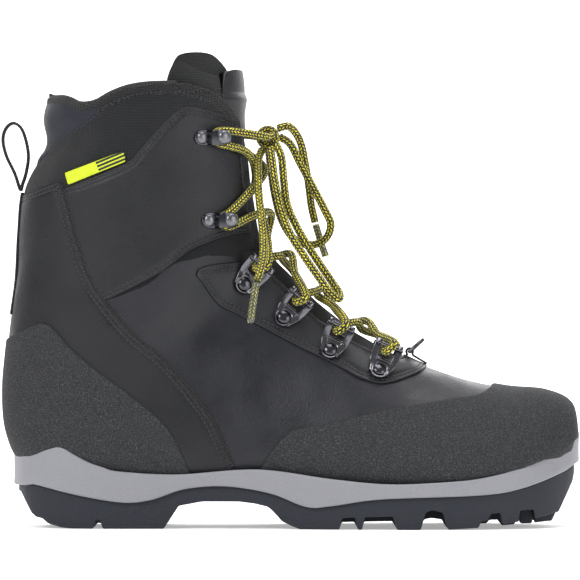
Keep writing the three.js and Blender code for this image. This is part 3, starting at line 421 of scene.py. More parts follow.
# a mesh object from points in millimetres
def makeObject(name, points, faces, uv=None, shade=None):
    mesh = bpy.data.meshes.new(name)
    mesh.from_pydata((np.asarray(points) * mm).tolist(), [], np.asarray(faces).tolist() if len(faces) else [])
    mesh.update()
    if uv is not None:
        layer = mesh.uv_layers.new(name="skin")
        loops = np.empty(len(mesh.loops), int)
        mesh.loops.foreach_get("vertex_index", loops)
        layer.data.foreach_set("uv", (np.asarray(uv)[loops] / 100).ravel().astype(np.float32))
    # painted shade of turned edges and pressed grooves, kept as a point attribute
    if shade is not None:
        paintedShade = mesh.attributes.new("paintedSeamShade", "FLOAT", "POINT")
        paintedShade.data.foreach_set("value", np.asarray(shade, np.float32))
    mesh.polygons.foreach_set("use_smooth", [True] * len(mesh.polygons))
    piece = bpy.data.objects.new(name, mesh)
    bpy.context.scene.collection.objects.link(piece)
    return piece


def finishPiece(piece, material, replaced=(), body="boot"):
    if material is not None and not piece.data.materials:
        piece.data.materials.append(material)
    if replaced:
        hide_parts(*replaced)
    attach(piece, body)
    return piece


# slow unevenness, the same on each run
def ripple(table, amount, scale, seed):
    rng = np.random.RandomState(seed)
    total = np.zeros(len(table))
    for _ in range(7):
        wave = rng.normal(size=3)
        wave /= np.linalg.norm(wave)
        total += np.sin(table[:, :3] @ wave * (2 * math.pi / (scale * rng.uniform(0.6, 1.6))) + rng.uniform(0, 6.3))
    return total * amount / 3


stitchSpots = {}


# one panel of the upper: cut to its field, edges rolled, grooves pressed along its stitched seams, with painted
# shade along the edges and in the grooves
def makePanel(name, field, material, replaced=(), top=0.0, bottom=-1.6, roll=0.8, puff=0.0, puffReach=5.0,
              rows=(), unevenness=0.12, seed=1, shape=None, rowGap=(1.9, 3.7)):
    faces = skinFaces[(field[skinFaces] > 0).any(1)]
    names = [row if isinstance(row, str) else row[0] for row in rows]
    table = np.column_stack([skinTable, field] + [np.abs(skinField(n)) for n in names])
    table, faces = usedOnly(table, faces)
    table, faces = cutAt(table, faces, 8, 0.0, True)
    table, faces = usedOnly(table, faces)
    for level in (roll * 0.3, roll, roll * 2.2):
        table, faces = cutAt(table, faces, 8, level, False)
    gaps = [rowGap if isinstance(row, str) else row[1] for row in rows]
    for k, gap in enumerate(gaps):
        for row in gap:
            for level in (row - 0.6, row, row + 0.6):
                table, faces = cutAt(table, faces, 9 + k, level, False)
    depth = table[:, 8]
    height = np.full(len(table), float(top))
    if puff:
        height += puff * (1 - np.exp(-np.maximum(depth, 0) / puffReach))
    edge = np.clip(depth / roll, 0, 1)
    height -= roll * (1 - np.sqrt(np.clip(1 - (1 - edge) ** 2, 0, 1)))
    height += ripple(table, unevenness, 26.0, seed) * np.clip(depth / 6, 0, 1)
    # painted shade: darkest at the turned edge of the panel
    shade = 0.55 * np.clip(1 - depth / 0.7, 0, 1)
    for k, gap in enumerate(gaps):
        for row in gap:
            press = np.exp(-((table[:, 9 + k] - row) / 0.6) ** 2) * np.clip((depth - 0.8) / 0.8, 0, 1)
            height -= 0.45 * press
            # painted shade in each pressed stitch groove
            shade = np.maximum(shade, press)
        if len(gap) == 2:
            middle = sum(gap) / 2
            height += 0.2 * np.exp(-((table[:, 9 + k] - middle) / 0.6) ** 2) * np.clip((depth - 0.8) / 0.8, 0, 1)
    if shape is not None:
        height += shape(table)
    outer = table[:, :3] + table[:, 3:6] * height[:, None]
    inner = table[:, :3] + table[:, 3:6] * bottom
    count = len(table)
    rim = openEdges(faces)
    walls = [(b, a, a + count) for a, b in rim] + [(b, a + count, b + count) for a, b in rim]
    allFaces = np.vstack([faces, faces[:, ::-1] + count, np.array(walls, int).reshape(-1, 3)])
    uv = np.vstack([table[:, 6:8], table[:, 6:8]])
    piece = makeObject(name, np.vstack([outer, inner]), allFaces, uv, np.concatenate([shade, shade]))
    finishPiece(piece, material, replaced)
    for k, gap in enumerate(gaps):
        for row in gap:
            chains = levelChains(faces, table, 9 + k, row, outer)
            stitchSpots.setdefault(name, []).append((chains, outer, table[:, 3:6]))
    return piece


def levelChains(faces, table, column, level, outer):
    on = (np.abs(table[:, column] - level) < 1e-9) & (table[:, 8] > 1.3)
    links = {}
    edges = np.vstack([faces[:, [0, 1]], faces[:, [1, 2]], faces[:, [2, 0]]])
    edges = edges[on[edges].all(1)]
    for a, b in edges.tolist():
        links.setdefault(a, set()).add(b)
        links.setdefault(b, set()).add(a)
    seen, chains = set(), []
    starts = [v for v in links if len(links[v]) == 1] + list(links)
    for start in starts:
        if start in seen:
            continue
        chain, here = [start], start
        seen.add(start)
        while True:
            ahead = [n for n in links[here] if n not in seen]
            if not ahead:
                break
            here = min(ahead, key=lambda n: np.linalg.norm(outer[n] - outer[here]))
            seen.add(here)
            chain.append(here)
        if len(chain) > 4:
            chains.append(chain)
    return chains


threadForm = {"radius": 0.38, "length": 1.8, "step": 2.5, "sides": 6, "sink": 0.1}


def capsule(centre, along, up, length, radius, sides):
    across = np.cross(up, along)
    rings = ((-0.5, 0.35), (-0.36, 0.85), (0.0, 1.0), (0.36, 0.85), (0.5, 0.35))
    points, faces = [], []
    for share, width in rings:
        lift = -abs(share) * radius * 0.9
        for k in range(sides):
            turn = 2 * math.pi * k / sides
            offset = across * math.cos(turn) * radius * width + up * (math.sin(turn) * radius * width + lift)
            points.append(centre + along * share * length + offset)
    for i in range(len(rings) - 1):
        for k in range(sides):
            a, b = i * sides + k, i * sides + (k + 1) % sides
            faces.append((a, b, b + sides, a + sides))
    faces.append(tuple(reversed(range(sides))))
    faces.append(tuple(range((len(rings) - 1) * sides, len(rings) * sides)))
    return points, faces


def makeStitches(name, source, material):
    points, faces = [], []
    step = threadForm["step"]
    for chains, outer, normals in stitchSpots.get(source, []):
        for chain in chains:
            line, ups = outer[chain], normals[chain]
            run = np.concatenate([[0], np.cumsum(np.linalg.norm(np.diff(line, axis=0), axis=1))])
            for spot in np.arange(step * 0.5, run[-1] - step * 0.4, step):
                centre = np.array([np.interp(spot, run, line[:, k]) for k in range(3)])
                ahead = np.array([np.interp(min(spot + 0.6, run[-1]), run, line[:, k]) for k in range(3)])
                behind = np.array([np.interp(max(spot - 0.6, 0), run, line[:, k]) for k in range(3)])
                up = np.array([np.interp(spot, run, ups[:, k]) for k in range(3)])
                along = ahead - behind
                along /= max(np.linalg.norm(along), 1e-9)
                up = up - along * (up @ along)
                up /= np.linalg.norm(up)
                got, gotFaces = capsule(centre + up * threadForm["sink"], along, up, threadForm["length"],
                                        threadForm["radius"], threadForm["sides"])
                base = len(points)
                points.extend(got)
                faces.extend(tuple(i + base for i in face) for face in gotFaces)
    if not points:
        return None
    mesh = bpy.data.meshes.new(name)
    mesh.from_pydata((np.array(points) * mm).tolist(), [], faces)
    mesh.polygons.foreach_set("use_smooth", [True] * len(mesh.polygons))
    piece = bpy.data.objects.new(name, mesh)
    bpy.context.scene.collection.objects.link(piece)
    return finishPiece(piece, material)


# sweeps and turned shapes for laces, binding and metal
# centripetal spline through the points
def catmullPath(points, perSpan=6):
    points = [np.array(p, float) for p in points]
    ends = [points[0] * 2 - points[1]] + points + [points[-1] * 2 - points[-2]]
    line = []
    for i in range(1, len(ends) - 2):
        p0, p1, p2, p3 = ends[i - 1:i + 3]
        t0 = 0.0
        t1 = t0 + max(np.linalg.norm(p1 - p0), 1e-6) ** 0.5
        t2 = t1 + max(np.linalg.norm(p2 - p1), 1e-6) ** 0.5
        t3 = t2 + max(np.linalg.norm(p3 - p2), 1e-6) ** 0.5
        for t in np.linspace(t1, t2, perSpan, endpoint=False):
            a1 = (t1 - t) / (t1 - t0) * p0 + (t - t0) / (t1 - t0) * p1
            a2 = (t2 - t) / (t2 - t1) * p1 + (t - t1) / (t2 - t1) * p2
            a3 = (t3 - t) / (t3 - t2) * p2 + (t - t2) / (t3 - t2) * p3
            b1 = (t2 - t) / (t2 - t0) * a1 + (t - t0) / (t2 - t0) * a2
            b2 = (t3 - t) / (t3 - t1) * a2 + (t - t1) / (t3 - t1) * a3
            line.append((t2 - t) / (t2 - t1) * b1 + (t - t1) / (t2 - t1) * b2)
    line.append(points[-1])
    return np.array(line)


# points, faces and uv of a section carried along a line; open ends get flat caps
def sweep(line, section, closed=False, taper=None, up=None, widths=None):
    line = np.array(line, float)
    count = len(line)
    if closed:
        ahead, behind = np.roll(line, -1, 0), np.roll(line, 1, 0)
    else:
        ahead, behind = np.vstack([line[1:], line[-1:]]), np.vstack([line[:1], line[:-1]])
    along = ahead - behind
    along /= np.maximum(np.linalg.norm(along, axis=1, keepdims=True), 1e-9)
    side = np.empty_like(line)
    seed = np.array(up if up is not None else (0, 0, 1.0), float)
    if up is None and abs(along[0] @ seed) > 0.9:
        seed = np.array((0, 1.0, 0))
    here = seed - along[0] * (seed @ along[0])
    here /= np.linalg.norm(here)
    for i in range(count):
        if up is not None:
            here = seed
        here = here - along[i] * (here @ along[i])
        here = here / max(np.linalg.norm(here), 1e-9)
        side[i] = here
    other = np.cross(along, side)
    section = np.array(section, float)
    sides = len(section)
    scale = np.ones(count) if taper is None else np.array(taper)
    wide = np.ones(count) if widths is None else np.array(widths)
    points = (line[:, None, :] + (side[:, None, :] * section[None, :, 0:1] * wide[:, None, None]
                                  + other[:, None, :] * section[None, :, 1:2]) * scale[:, None, None])
    run = np.concatenate([[0], np.cumsum(np.linalg.norm(np.diff(line, axis=0), axis=1))])
    rounded = np.concatenate([[0], np.cumsum(np.linalg.norm(np.diff(section, axis=0), axis=1))])
    uv = np.stack(np.broadcast_arrays(rounded[None, :], run[:, None]), -1).reshape(-1, 2)
    faces = []
    rings = count if closed else count - 1
    for i in range(rings):
        for k in range(sides):
            a, b = i * sides + k, i * sides + (k + 1) % sides
            c, d = ((i + 1) % count) * sides + (k + 1) % sides, ((i + 1) % count) * sides + k
            faces.append((a, b, c, d))
    if not closed:
        faces.append(tuple(range(sides - 1, -1, -1)))
        faces.append(tuple(range((count - 1) * sides, count * sides)))
    return points.reshape(-1, 3), faces, uv


def ringSection(radius, sides=12, flat=1.0):
    turn = np.arange(sides) * 2 * math.pi / sides
    return np.stack([np.cos(turn) * radius * flat, np.sin(turn) * radius], 1)


# rounded rectangle: width along the first axis
def roundedSection(width, height, corner, perCorner=3):
    section = []
    for cx, cy, start in ((1, 1, 0), (-1, 1, 90), (-1, -1, 180), (1, -1, 270)):
        for k in range(perCorner + 1):
            turn = math.radians(start + 90 * k / perCorner)
            section.append((cx * (width / 2 - corner) + corner * math.cos(turn),
                            cy * (height / 2 - corner) + corner * math.sin(turn)))
    return np.array(section)


def lathe(profile, sides=20, centre=(0, 0), stretch=(1, 1)):
    points, faces = [], []
    for radius, z in profile:
        for k in range(sides):
            turn = 2 * math.pi * k / sides
            points.append((centre[0] + radius * math.cos(turn) * stretch[0],
                           centre[1] + radius * math.sin(turn) * stretch[1], z))
    for i in range(len(profile) - 1):
        for k in range(sides):
            a, b = i * sides + k, i * sides + (k + 1) % sides
            faces.append((a, b, b + sides, a + sides))
    faces.append(tuple(range(sides - 1, -1, -1)))
    faces.append(tuple(range((len(profile) - 1) * sides, len(profile) * sides)))
    return np.array(points, float), faces, None


def joinShapes(shapes):
    points, faces, uv = [], [], []
    for got, gotFaces, gotUv in shapes:
        base = sum(len(p) for p in points)
        points.append(np.asarray(got, float))
        uv.append(np.asarray(got)[:, :2] if gotUv is None else gotUv)
        faces.extend(tuple(i + base for i in face) for face in gotFaces)
    return np.vstack(points), faces, np.vstack(uv)


# a shape taken from a fitting's own frame onto the boot
def moved(shape, frame):
    points, faces, uv = shape
    return points @ frame[:3, :3].T + frame[:3, 3], faces, uv


def makeShape(name, shape, material, replaced=(), body="boot", sharp=None):
    points, faces, uv = shape
    mesh = bpy.data.meshes.new(name)
    mesh.from_pydata((points * mm).tolist(), [], [list(face) for face in faces])
    mesh.update()
    layer = mesh.uv_layers.new(name="skin")
    loops = np.empty(len(mesh.loops), int)
    mesh.loops.foreach_get("vertex_index", loops)
    layer.data.foreach_set("uv", (np.asarray(uv)[loops] / 100).ravel().astype(np.float32))
    mesh.polygons.foreach_set("use_smooth", [True] * len(mesh.polygons))
    if sharp:
        mesh.set_sharp_from_angle(angle=math.radians(sharp))
    piece = bpy.data.objects.new(name, mesh)
    bpy.context.scene.collection.objects.link(piece)
    return finishPiece(piece, material, replaced, body)


# materials
def newMaterial(name, roughness=0.5, metallic=0.0):
    material = bpy.data.materials.new(name)
    material.use_nodes = True
    nodes, links = material.node_tree.nodes, material.node_tree.links
    shader = nodes["Principled BSDF"]
    shader.inputs["Roughness"].default_value = roughness
    shader.inputs["Metallic"].default_value = metallic
    return material, nodes, links, shader


# surface coordinates in millimetres
def millimetres(nodes, links, source="Object"):
    place = nodes.new("ShaderNodeTexCoord")
    scale = nodes.new("ShaderNodeVectorMath")
    scale.operation = "SCALE"
    scale.inputs["Scale"].default_value = 100 if source == "UV" else 1 / mm
    links.new(place.outputs[source], scale.inputs[0])
    return scale.outputs[0]


def noiseNode(nodes, links, vector, scale, detail=4.0, roughness=0.55):
    node = nodes.new("ShaderNodeTexNoise")
    node.inputs["Scale"].default_value = scale
    node.inputs["Detail"].default_value = detail
    node.inputs["Roughness"].default_value = roughness
    links.new(vector, node.inputs["Vector"])
    return node.outputs["Fac"]


def cellNode(nodes, links, vector, scale, feature="F1"):
    node = nodes.new("ShaderNodeTexVoronoi")
    node.feature = feature
    node.inputs["Scale"].default_value = scale
    links.new(vector, node.inputs["Vector"])
    return node.outputs["Distance"]


def mathNode(nodes, links, operation, first, second=None, third=None):
    node = nodes.new("ShaderNodeMath")
    node.operation = operation
    for slotIndex, value in enumerate((first, second, third)):
        if value is None:
            continue
        if isinstance(value, (int, float)):
            node.inputs[slotIndex].default_value = value
        else:
            links.new(value, node.inputs[slotIndex])
    return node.outputs[0]


def rampNode(nodes, links, value, stops):
    node = nodes.new("ShaderNodeValToRGB")
    ramp = node.color_ramp
    while len(ramp.elements) < len(stops):
        ramp.elements.new(0.5)
    for element, (place, colour) in zip(ramp.elements, stops):
        element.position = place
        element.color = (*colour, 1)
    links.new(value, node.inputs["Fac"])
    return node.outputs["Color"]


# depth of the relief is in millimetres
def bumpNode(nodes, links, height, depth, strength=1.0, below=None):
    node = nodes.new("ShaderNodeBump")
    node.inputs["Distance"].default_value = depth * mm
    node.inputs["Strength"].default_value = strength
    links.new(height, node.inputs["Height"])
    if below is not None:
        links.new(below, node.inputs["Normal"])
    return node.outputs["Normal"]


# the colour, darkened by painted shade along pressed seams and turned edges
def shaded(nodes, links, colour, depth=0.6):
    # painted shade read from the mesh and multiplied into the colour
    paintedShade = nodes.new("ShaderNodeAttribute")
    paintedShade.attribute_name = "paintedSeamShade"
    mix = nodes.new("ShaderNodeMix")
    mix.data_type = "RGBA"
    mix.blend_type = "MULTIPLY"
    links.new(mathNode(nodes, links, "MULTIPLY", paintedShade.outputs["Fac"], depth), mix.inputs["Factor"])
    links.new(colour, mix.inputs[6])
    mix.inputs[7].default_value = (0.05, 0.05, 0.06, 1)
    return mix.outputs[2]


# a colour given as it looks on screen
def tone(red, green, blue):
    return tuple((c / 255 / 12.92) if c / 255 <= 0.04045 else ((c / 255 + 0.055) / 1.055) ** 2.4
                 for c in (red, green, blue))


def split(nodes, links, vector):
    node = nodes.new("ShaderNodeSeparateXYZ")
    links.new(vector, node.inputs[0])
    return node.outputs[0], node.outputs[1], node.outputs[2]


def leatherMaterial(name, dark, light, grain=0.9, relief=0.16, roughness=(0.42, 0.62)):
    material, nodes, links, shader = newMaterial(name)
    vector = millimetres(nodes, links)
    pores = cellNode(nodes, links, vector, 1 / grain)
    folds = cellNode(nodes, links, vector, 0.32 / grain, "SMOOTH_F1")
    fine = noiseNode(nodes, links, vector, 2.6, 3)
    cloud = noiseNode(nodes, links, vector, 0.045, 3)
    height = mathNode(nodes, links, "MULTIPLY_ADD", pores, 0.55, mathNode(nodes, links, "MULTIPLY", folds, 0.5))
    height = mathNode(nodes, links, "MULTIPLY_ADD", fine, 0.35, height)
    links.new(bumpNode(nodes, links, height, relief, 0.8), shader.inputs["Normal"])
    mix = mathNode(nodes, links, "MULTIPLY_ADD", pores, 0.5, mathNode(nodes, links, "MULTIPLY", cloud, 0.55))
    colour = rampNode(nodes, links, mix, [(0.15, dark), (0.8, light)])
    links.new(shaded(nodes, links, colour, 0.85), shader.inputs["Base Color"])
    rough = nodes.new("ShaderNodeMapRange")
    rough.inputs["From Min"].default_value, rough.inputs["From Max"].default_value = 0.3, 0.7
    rough.inputs["To Min"].default_value, rough.inputs["To Max"].default_value = roughness
    links.new(cloud, rough.inputs["Value"])
    links.new(rough.outputs[0], shader.inputs["Roughness"])
    shader.inputs["Specular IOR Level"].default_value = 0.42
    return material


# over and under threads laid on the skin's own lengthwise and crosswise directions
def weaveMaterial(name, dark, light, pitch=(0.9, 0.9), relief=0.22, roughness=0.85, slant=0.0, sheen=0.25,
                  bulk=0.0):
    material, nodes, links, shader = newMaterial(name, roughness)
    u, v, _ = split(nodes, links, millimetres(nodes, links, "UV"))
    if slant:
        u = mathNode(nodes, links, "MULTIPLY_ADD", v, slant, u)
    warp = mathNode(nodes, links, "SINE", mathNode(nodes, links, "MULTIPLY", u, 2 * math.pi / pitch[0]))
    weft = mathNode(nodes, links, "SINE", mathNode(nodes, links, "MULTIPLY", v, 2 * math.pi / pitch[1]))
    cross = mathNode(nodes, links, "MULTIPLY", warp, weft)
    thread = mathNode(nodes, links, "ABSOLUTE", cross)
    over = mathNode(nodes, links, "MULTIPLY_ADD", cross, 0.3, thread)
    vector = millimetres(nodes, links)
    fuzz = noiseNode(nodes, links, vector, 3.5, 3)
    cloud = noiseNode(nodes, links, vector, 0.06, 3)
    height = mathNode(nodes, links, "MULTIPLY_ADD", fuzz, 0.35, over)
    if bulk:
        height = mathNode(nodes, links, "MULTIPLY_ADD", cloud, bulk, height)
    links.new(bumpNode(nodes, links, height, relief, 0.9), shader.inputs["Normal"])
    mix = mathNode(nodes, links, "MULTIPLY_ADD", over, 0.45, mathNode(nodes, links, "MULTIPLY", fuzz, 0.4))
    colour = rampNode(nodes, links, mix, [(0.1, dark), (0.75, light)])
    links.new(shaded(nodes, links, colour, 0.8), shader.inputs["Base Color"])
    shader.inputs["Specular IOR Level"].default_value = 0.25
    shader.inputs["Sheen Weight"].default_value = sheen
    shader.inputs["Sheen Roughness"].default_value = 0.5
    return material


def ribMaterial(name, dark, light, pitch=1.1, relief=0.3, roughness=0.8, alongU=False, knit=0.0):
    material, nodes, links, shader = newMaterial(name, roughness)
    u, v, _ = split(nodes, links, millimetres(nodes, links, "UV"))
    main, other = (v, u) if alongU else (u, v)
    if knit:
        zig = mathNode(nodes, links, "PINGPONG", other, knit)
        main = mathNode(nodes, links, "MULTIPLY_ADD", zig, 0.8, main)
    rib = mathNode(nodes, links, "SINE", mathNode(nodes, links, "MULTIPLY", main, 2 * math.pi / pitch))
    fuzz = noiseNode(nodes, links, millimetres(nodes, links), 3.0, 3)
    height = mathNode(nodes, links, "MULTIPLY_ADD", fuzz, 0.5, rib)
    links.new(bumpNode(nodes, links, height, relief, 0.8), shader.inputs["Normal"])
    mix = mathNode(nodes, links, "MULTIPLY_ADD", rib, 0.28, mathNode(nodes, links, "MULTIPLY", fuzz, 0.9))
    colour = rampNode(nodes, links, mix, [(0.1, dark), (0.8, light)])
    links.new(shaded(nodes, links, colour, 0.8), shader.inputs["Base Color"])
    shader.inputs["Specular IOR Level"].default_value = 0.3
    shader.inputs["Sheen Weight"].default_value = 0.12
    return material


def speckleMaterial(name, dark, light, fleck, share=0.62, size=1.6, relief=0.1, roughness=0.7):
    material, nodes, links, shader = newMaterial(name, roughness)
    vector = millimetres(nodes, links)
    fine = noiseNode(nodes, links, vector, 1.4, 5, 0.7)
    grit = noiseNode(nodes, links, vector, size, 2, 0.6)
    base = rampNode(nodes, links, fine, [(0.3, dark), (0.7, light)])
    flecks = rampNode(nodes, links, grit, [(share, (0, 0, 0)), (share + 0.05, (1, 1, 1))])
    mix = nodes.new("ShaderNodeMix")
    mix.data_type = "RGBA"
    links.new(flecks, mix.inputs["Factor"])
    links.new(base, mix.inputs[6])
    mix.inputs[7].default_value = (*fleck, 1)
    links.new(shaded(nodes, links, mix.outputs[2], 0.7), shader.inputs["Base Color"])
    height = mathNode(nodes, links, "MULTIPLY_ADD", grit, 0.8, fine)
    links.new(bumpNode(nodes, links, height, relief, 0.8), shader.inputs["Normal"])
    shader.inputs["Specular IOR Level"].default_value = 0.35
    return material


def metalMaterial(name, colour, roughness):
    material, nodes, links, shader = newMaterial(name, roughness, 1.0)
    vector = millimetres(nodes, links)
    wear = noiseNode(nodes, links, vector, 0.5, 5, 0.7)
    scratch = noiseNode(nodes, links, vector, 7.0, 2)
    dark = tuple(c * 0.75 for c in colour)
    links.new(rampNode(nodes, links, wear, [(0.35, dark), (0.7, colour)]), shader.inputs["Base Color"])
    rough = nodes.new("ShaderNodeMapRange")
    rough.inputs["From Min"].default_value, rough.inputs["From Max"].default_value = 0.3, 0.75
    rough.inputs["To Min"].default_value, rough.inputs["To Max"].default_value = roughness * 0.7, roughness * 1.5
    links.new(wear, rough.inputs["Value"])
    links.new(rough.outputs[0], shader.inputs["Roughness"])
    links.new(bumpNode(nodes, links, scratch, 0.02, 0.4), shader.inputs["Normal"])
    return material


# round braid: yellow herringbone over a black ground
def laceMaterial(name):
    material, nodes, links, shader = newMaterial(name, 0.72)
    u, v, _ = split(nodes, links, millimetres(nodes, links, "UV"))
    zig = mathNode(nodes, links, "PINGPONG", u, 1.65)
    slant = mathNode(nodes, links, "MULTIPLY_ADD", zig, 1.1, v)
    band = mathNode(nodes, links, "SINE", mathNode(nodes, links, "MULTIPLY", slant, 2 * math.pi / 2.0))
    cross = mathNode(nodes, links, "SINE", mathNode(nodes, links, "MULTIPLY", u, 2 * math.pi / 1.65))
    wobble = noiseNode(nodes, links, millimetres(nodes, links), 0.85, 2)
    choice = mathNode(nodes, links, "MULTIPLY_ADD", cross, 0.9, band)
    choice = mathNode(nodes, links, "MULTIPLY_ADD", mathNode(nodes, links, "SUBTRACT", wobble, 0.5), 4.0, choice)
    fine = mathNode(nodes, links, "SINE", mathNode(nodes, links, "MULTIPLY", slant, 2 * math.pi / 0.43))
    colour = rampNode(nodes, links, mathNode(nodes, links, "MULTIPLY_ADD", choice, 0.25, 0.5),
                      [(0.66, tone(9, 9, 9)), (0.71, tone(250, 238, 34))])
    links.new(colour, shader.inputs["Base Color"])
    height = mathNode(nodes, links, "MULTIPLY_ADD", mathNode(nodes, links, "ABSOLUTE", band), 1.0,
                      mathNode(nodes, links, "MULTIPLY", fine, 0.25))
    links.new(bumpNode(nodes, links, height, 0.35, 0.9), shader.inputs["Normal"])
    shader.inputs["Sheen Weight"].default_value = 0.15
    return material


# plain woven label: a bright field and a dark one with two bright lines
def labelMaterial(name):
    material, nodes, links, shader = newMaterial(name, 0.55)
    place = millimetres(nodes, links)
    x, _, z = split(nodes, links, place)
    grain = noiseNode(nodes, links, place, 2.4, 3)
    along = mathNode(nodes, links, "ADD", mathNode(nodes, links, "MULTIPLY_ADD", x, 0.925, 0),
                     mathNode(nodes, links, "MULTIPLY", z, 0.38))
    across = mathNode(nodes, links, "SUBTRACT", mathNode(nodes, links, "MULTIPLY", z, 0.925),
                      mathNode(nodes, links, "MULTIPLY", x, 0.38))
    darkField = mathNode(nodes, links, "GREATER_THAN", along, -22.0)
    line = mathNode(nodes, links, "GREATER_THAN", mathNode(nodes, links, "SINE", mathNode(
        nodes, links, "MULTIPLY", across, 2 * math.pi / 1.9)), 0.35)
    bright = rampNode(nodes, links, grain, [(0.3, tone(182, 196, 14)), (0.7, tone(204, 217, 26))])
    choice = mathNode(nodes, links, "MULTIPLY", darkField, mathNode(nodes, links, "SUBTRACT", 1.0, line))
    mix = nodes.new("ShaderNodeMix")
    mix.data_type = "RGBA"
    links.new(choice, mix.inputs["Factor"])
    links.new(bright, mix.inputs[6])
    mix.inputs[7].default_value = (*tone(26, 27, 28), 1)
    links.new(mix.outputs[2], shader.inputs["Base Color"])
    links.new(bumpNode(nodes, links, grain, 0.06, 0.6), shader.inputs["Normal"])
    return material


def agletMaterial(name):
    material, nodes, links, shader = newMaterial(name, 0.12)
    vector = millimetres(nodes, links)
    haze = noiseNode(nodes, links, vector, 0.35, 3)
    links.new(rampNode(nodes, links, haze, [(0.3, tone(214, 218, 190)), (0.7, tone(238, 240, 226))]),
              shader.inputs["Base Color"])
    links.new(bumpNode(nodes, links, haze, 0.12, 0.5), shader.inputs["Normal"])
    shader.inputs["Transmission Weight"].default_value = 0.9
    shader.inputs["IOR"].default_value = 1.4
    return material


finishes = {
    "leather": leatherMaterial("leather", tone(10, 11, 16), tone(26, 27, 35), 0.9, 0.18, (0.34, 0.54)),
    "shaftLeather": leatherMaterial("shaft_leather", tone(5, 6, 10), tone(17, 18, 25), 0.9, 0.2, (0.38, 0.58)),
    "rand": speckleMaterial("rand", tone(24, 25, 27), tone(40, 41, 44), tone(72, 73, 76), 0.55, 2.2, 0.26, 0.8),
    "eyestay": leatherMaterial("eyestay", tone(14, 15, 18), tone(31, 32, 37), 0.8, 0.14, (0.36, 0.54)),
    "woven": weaveMaterial("woven", tone(10, 11, 13), tone(42, 43, 46), (1.7, 1.7), 0.4, 0.8, 0.0, 0.1),
    "flex": weaveMaterial("flex", tone(10, 11, 13), tone(30, 31, 35), (0.9, 1.6), 0.3, 0.85, 0.0, 0.06),
    "lycra": ribMaterial("lycra", tone(17, 19, 30), tone(24, 26, 40), 0.5, 0.03, 0.6),
    "binding": ribMaterial("binding", tone(8, 9, 10), tone(42, 43, 45), 1.5, 0.5, 0.85, True, 0.9),
    "tongue": weaveMaterial("tongue", tone(12, 13, 14), tone(46, 47, 49), (1.5, 1.5), 0.4, 0.9, 0.0, 0.1, 0.5),
    "lining": weaveMaterial("lining", tone(16, 16, 18), tone(44, 44, 48), (1.8, 1.8), 0.4, 0.95, 0.5, 0.15),
    "webbing": ribMaterial("webbing", tone(12, 13, 14), tone(50, 51, 54), 1.5, 0.35, 0.8, True),
    "midsole": speckleMaterial("midsole", tone(127, 127, 133), tone(139, 139, 145), tone(151, 151, 156), 0.68,
                               2.4, 0.04, 0.5),
    "rubber": speckleMaterial("rubber", tone(24, 27, 35), tone(38, 41, 51), tone(54, 57, 66), 0.66, 2.2, 0.12,
                              0.6),
    "gunmetal": metalMaterial("gunmetal", (0.085, 0.087, 0.098), 0.17),
    "nickelDark": metalMaterial("nickelDark", (0.15, 0.15, 0.165), 0.14),
    "steel": metalMaterial("steel", (0.2, 0.2, 0.21), 0.3),
    "thread": ribMaterial("thread", tone(26, 27, 31), tone(62, 63, 69), 0.4, 0.08, 0.6),
    "nickel": metalMaterial("nickel", (0.2, 0.2, 0.215), 0.3),
    "lace": laceMaterial("lace"),
    "aglet": agletMaterial("aglet"),
    "label": labelMaterial("label"),
    "board": speckleMaterial("board", tone(34, 33, 34), tone(48, 47, 48), tone(60, 58, 58)),
    "stiffener": speckleMaterial("stiffener", tone(26, 26, 28), tone(40, 40, 42), tone(54, 54, 56)),
    "insole": weaveMaterial("insole", tone(30, 32, 36), tone(66, 68, 74), (1.4, 1.4), 0.3, 0.95),
}
print("materials ready")
for nodeName, finish in (("heel_counter", "stiffener"), ("toe_puff", "stiffener"), ("lasting_board", "board"),
                         ("shank_plate", "steel"), ("binding_bar", "steel")):
    frame["nodes"][nodeName].data.materials.clear()
    frame["nodes"][nodeName].data.materials.append(finishes[finish])


# laces: routes first, everything else is built round them
fittingPlaces = {
    "loop_3": ((-25.7, 127.7), (-17.8, 138.3)),
    "loop_4": ((-4.5, 109.7), (4.5, 118.2)),
    "loop_5": ((19.9, 92.4), (26, 103)),
    "loop_6": ((45.6, 81.5), (50, 90)),
    "hook_1": ((-47.4, 205.1), (-36.8, 205.6)),
    "hook_2": ((-43.5, 161.7), (-32.6, 161.7)),
}
rowOrder = ["loop_6", "loop_5", "loop_4", "loop_3", "hook_2", "hook_1"]
laceForm = {
    "diameter": 4.2,
    "crossings": [(37, 103.8), (13.5, 121.2), (-5, 140), (-18, 164), (-22.3, 187)],
    "low": 1.2, "high": 6.3,
    "barReach": 12.5, "barHeight": 9.0, "roundBar": 3.5,
    "stemReach": 9.2, "roundStem": 3.4, "inHook": 4.1,
    "knot": (-12.5, 0, 206), "knotSize": (5.6, 7, 6.6),
}


def fittingFrame(name, side):
    rivet, end = fittingPlaces[name]
    point, up = seatAt(*rivet, side)
    tip, _ = seatAt(*end, side)
    ahead = tip - point
    ahead = ahead - up * (ahead @ up)
    ahead /= np.linalg.norm(ahead)
    matrix = np.eye(4)
    matrix[:3, 0], matrix[:3, 1], matrix[:3, 2], matrix[:3, 3] = ahead, np.cross(up, ahead), up, point
    return matrix


fittingFrames = {(name, side): fittingFrame(name, side) for name in fittingPlaces for side in (-1, 1)}


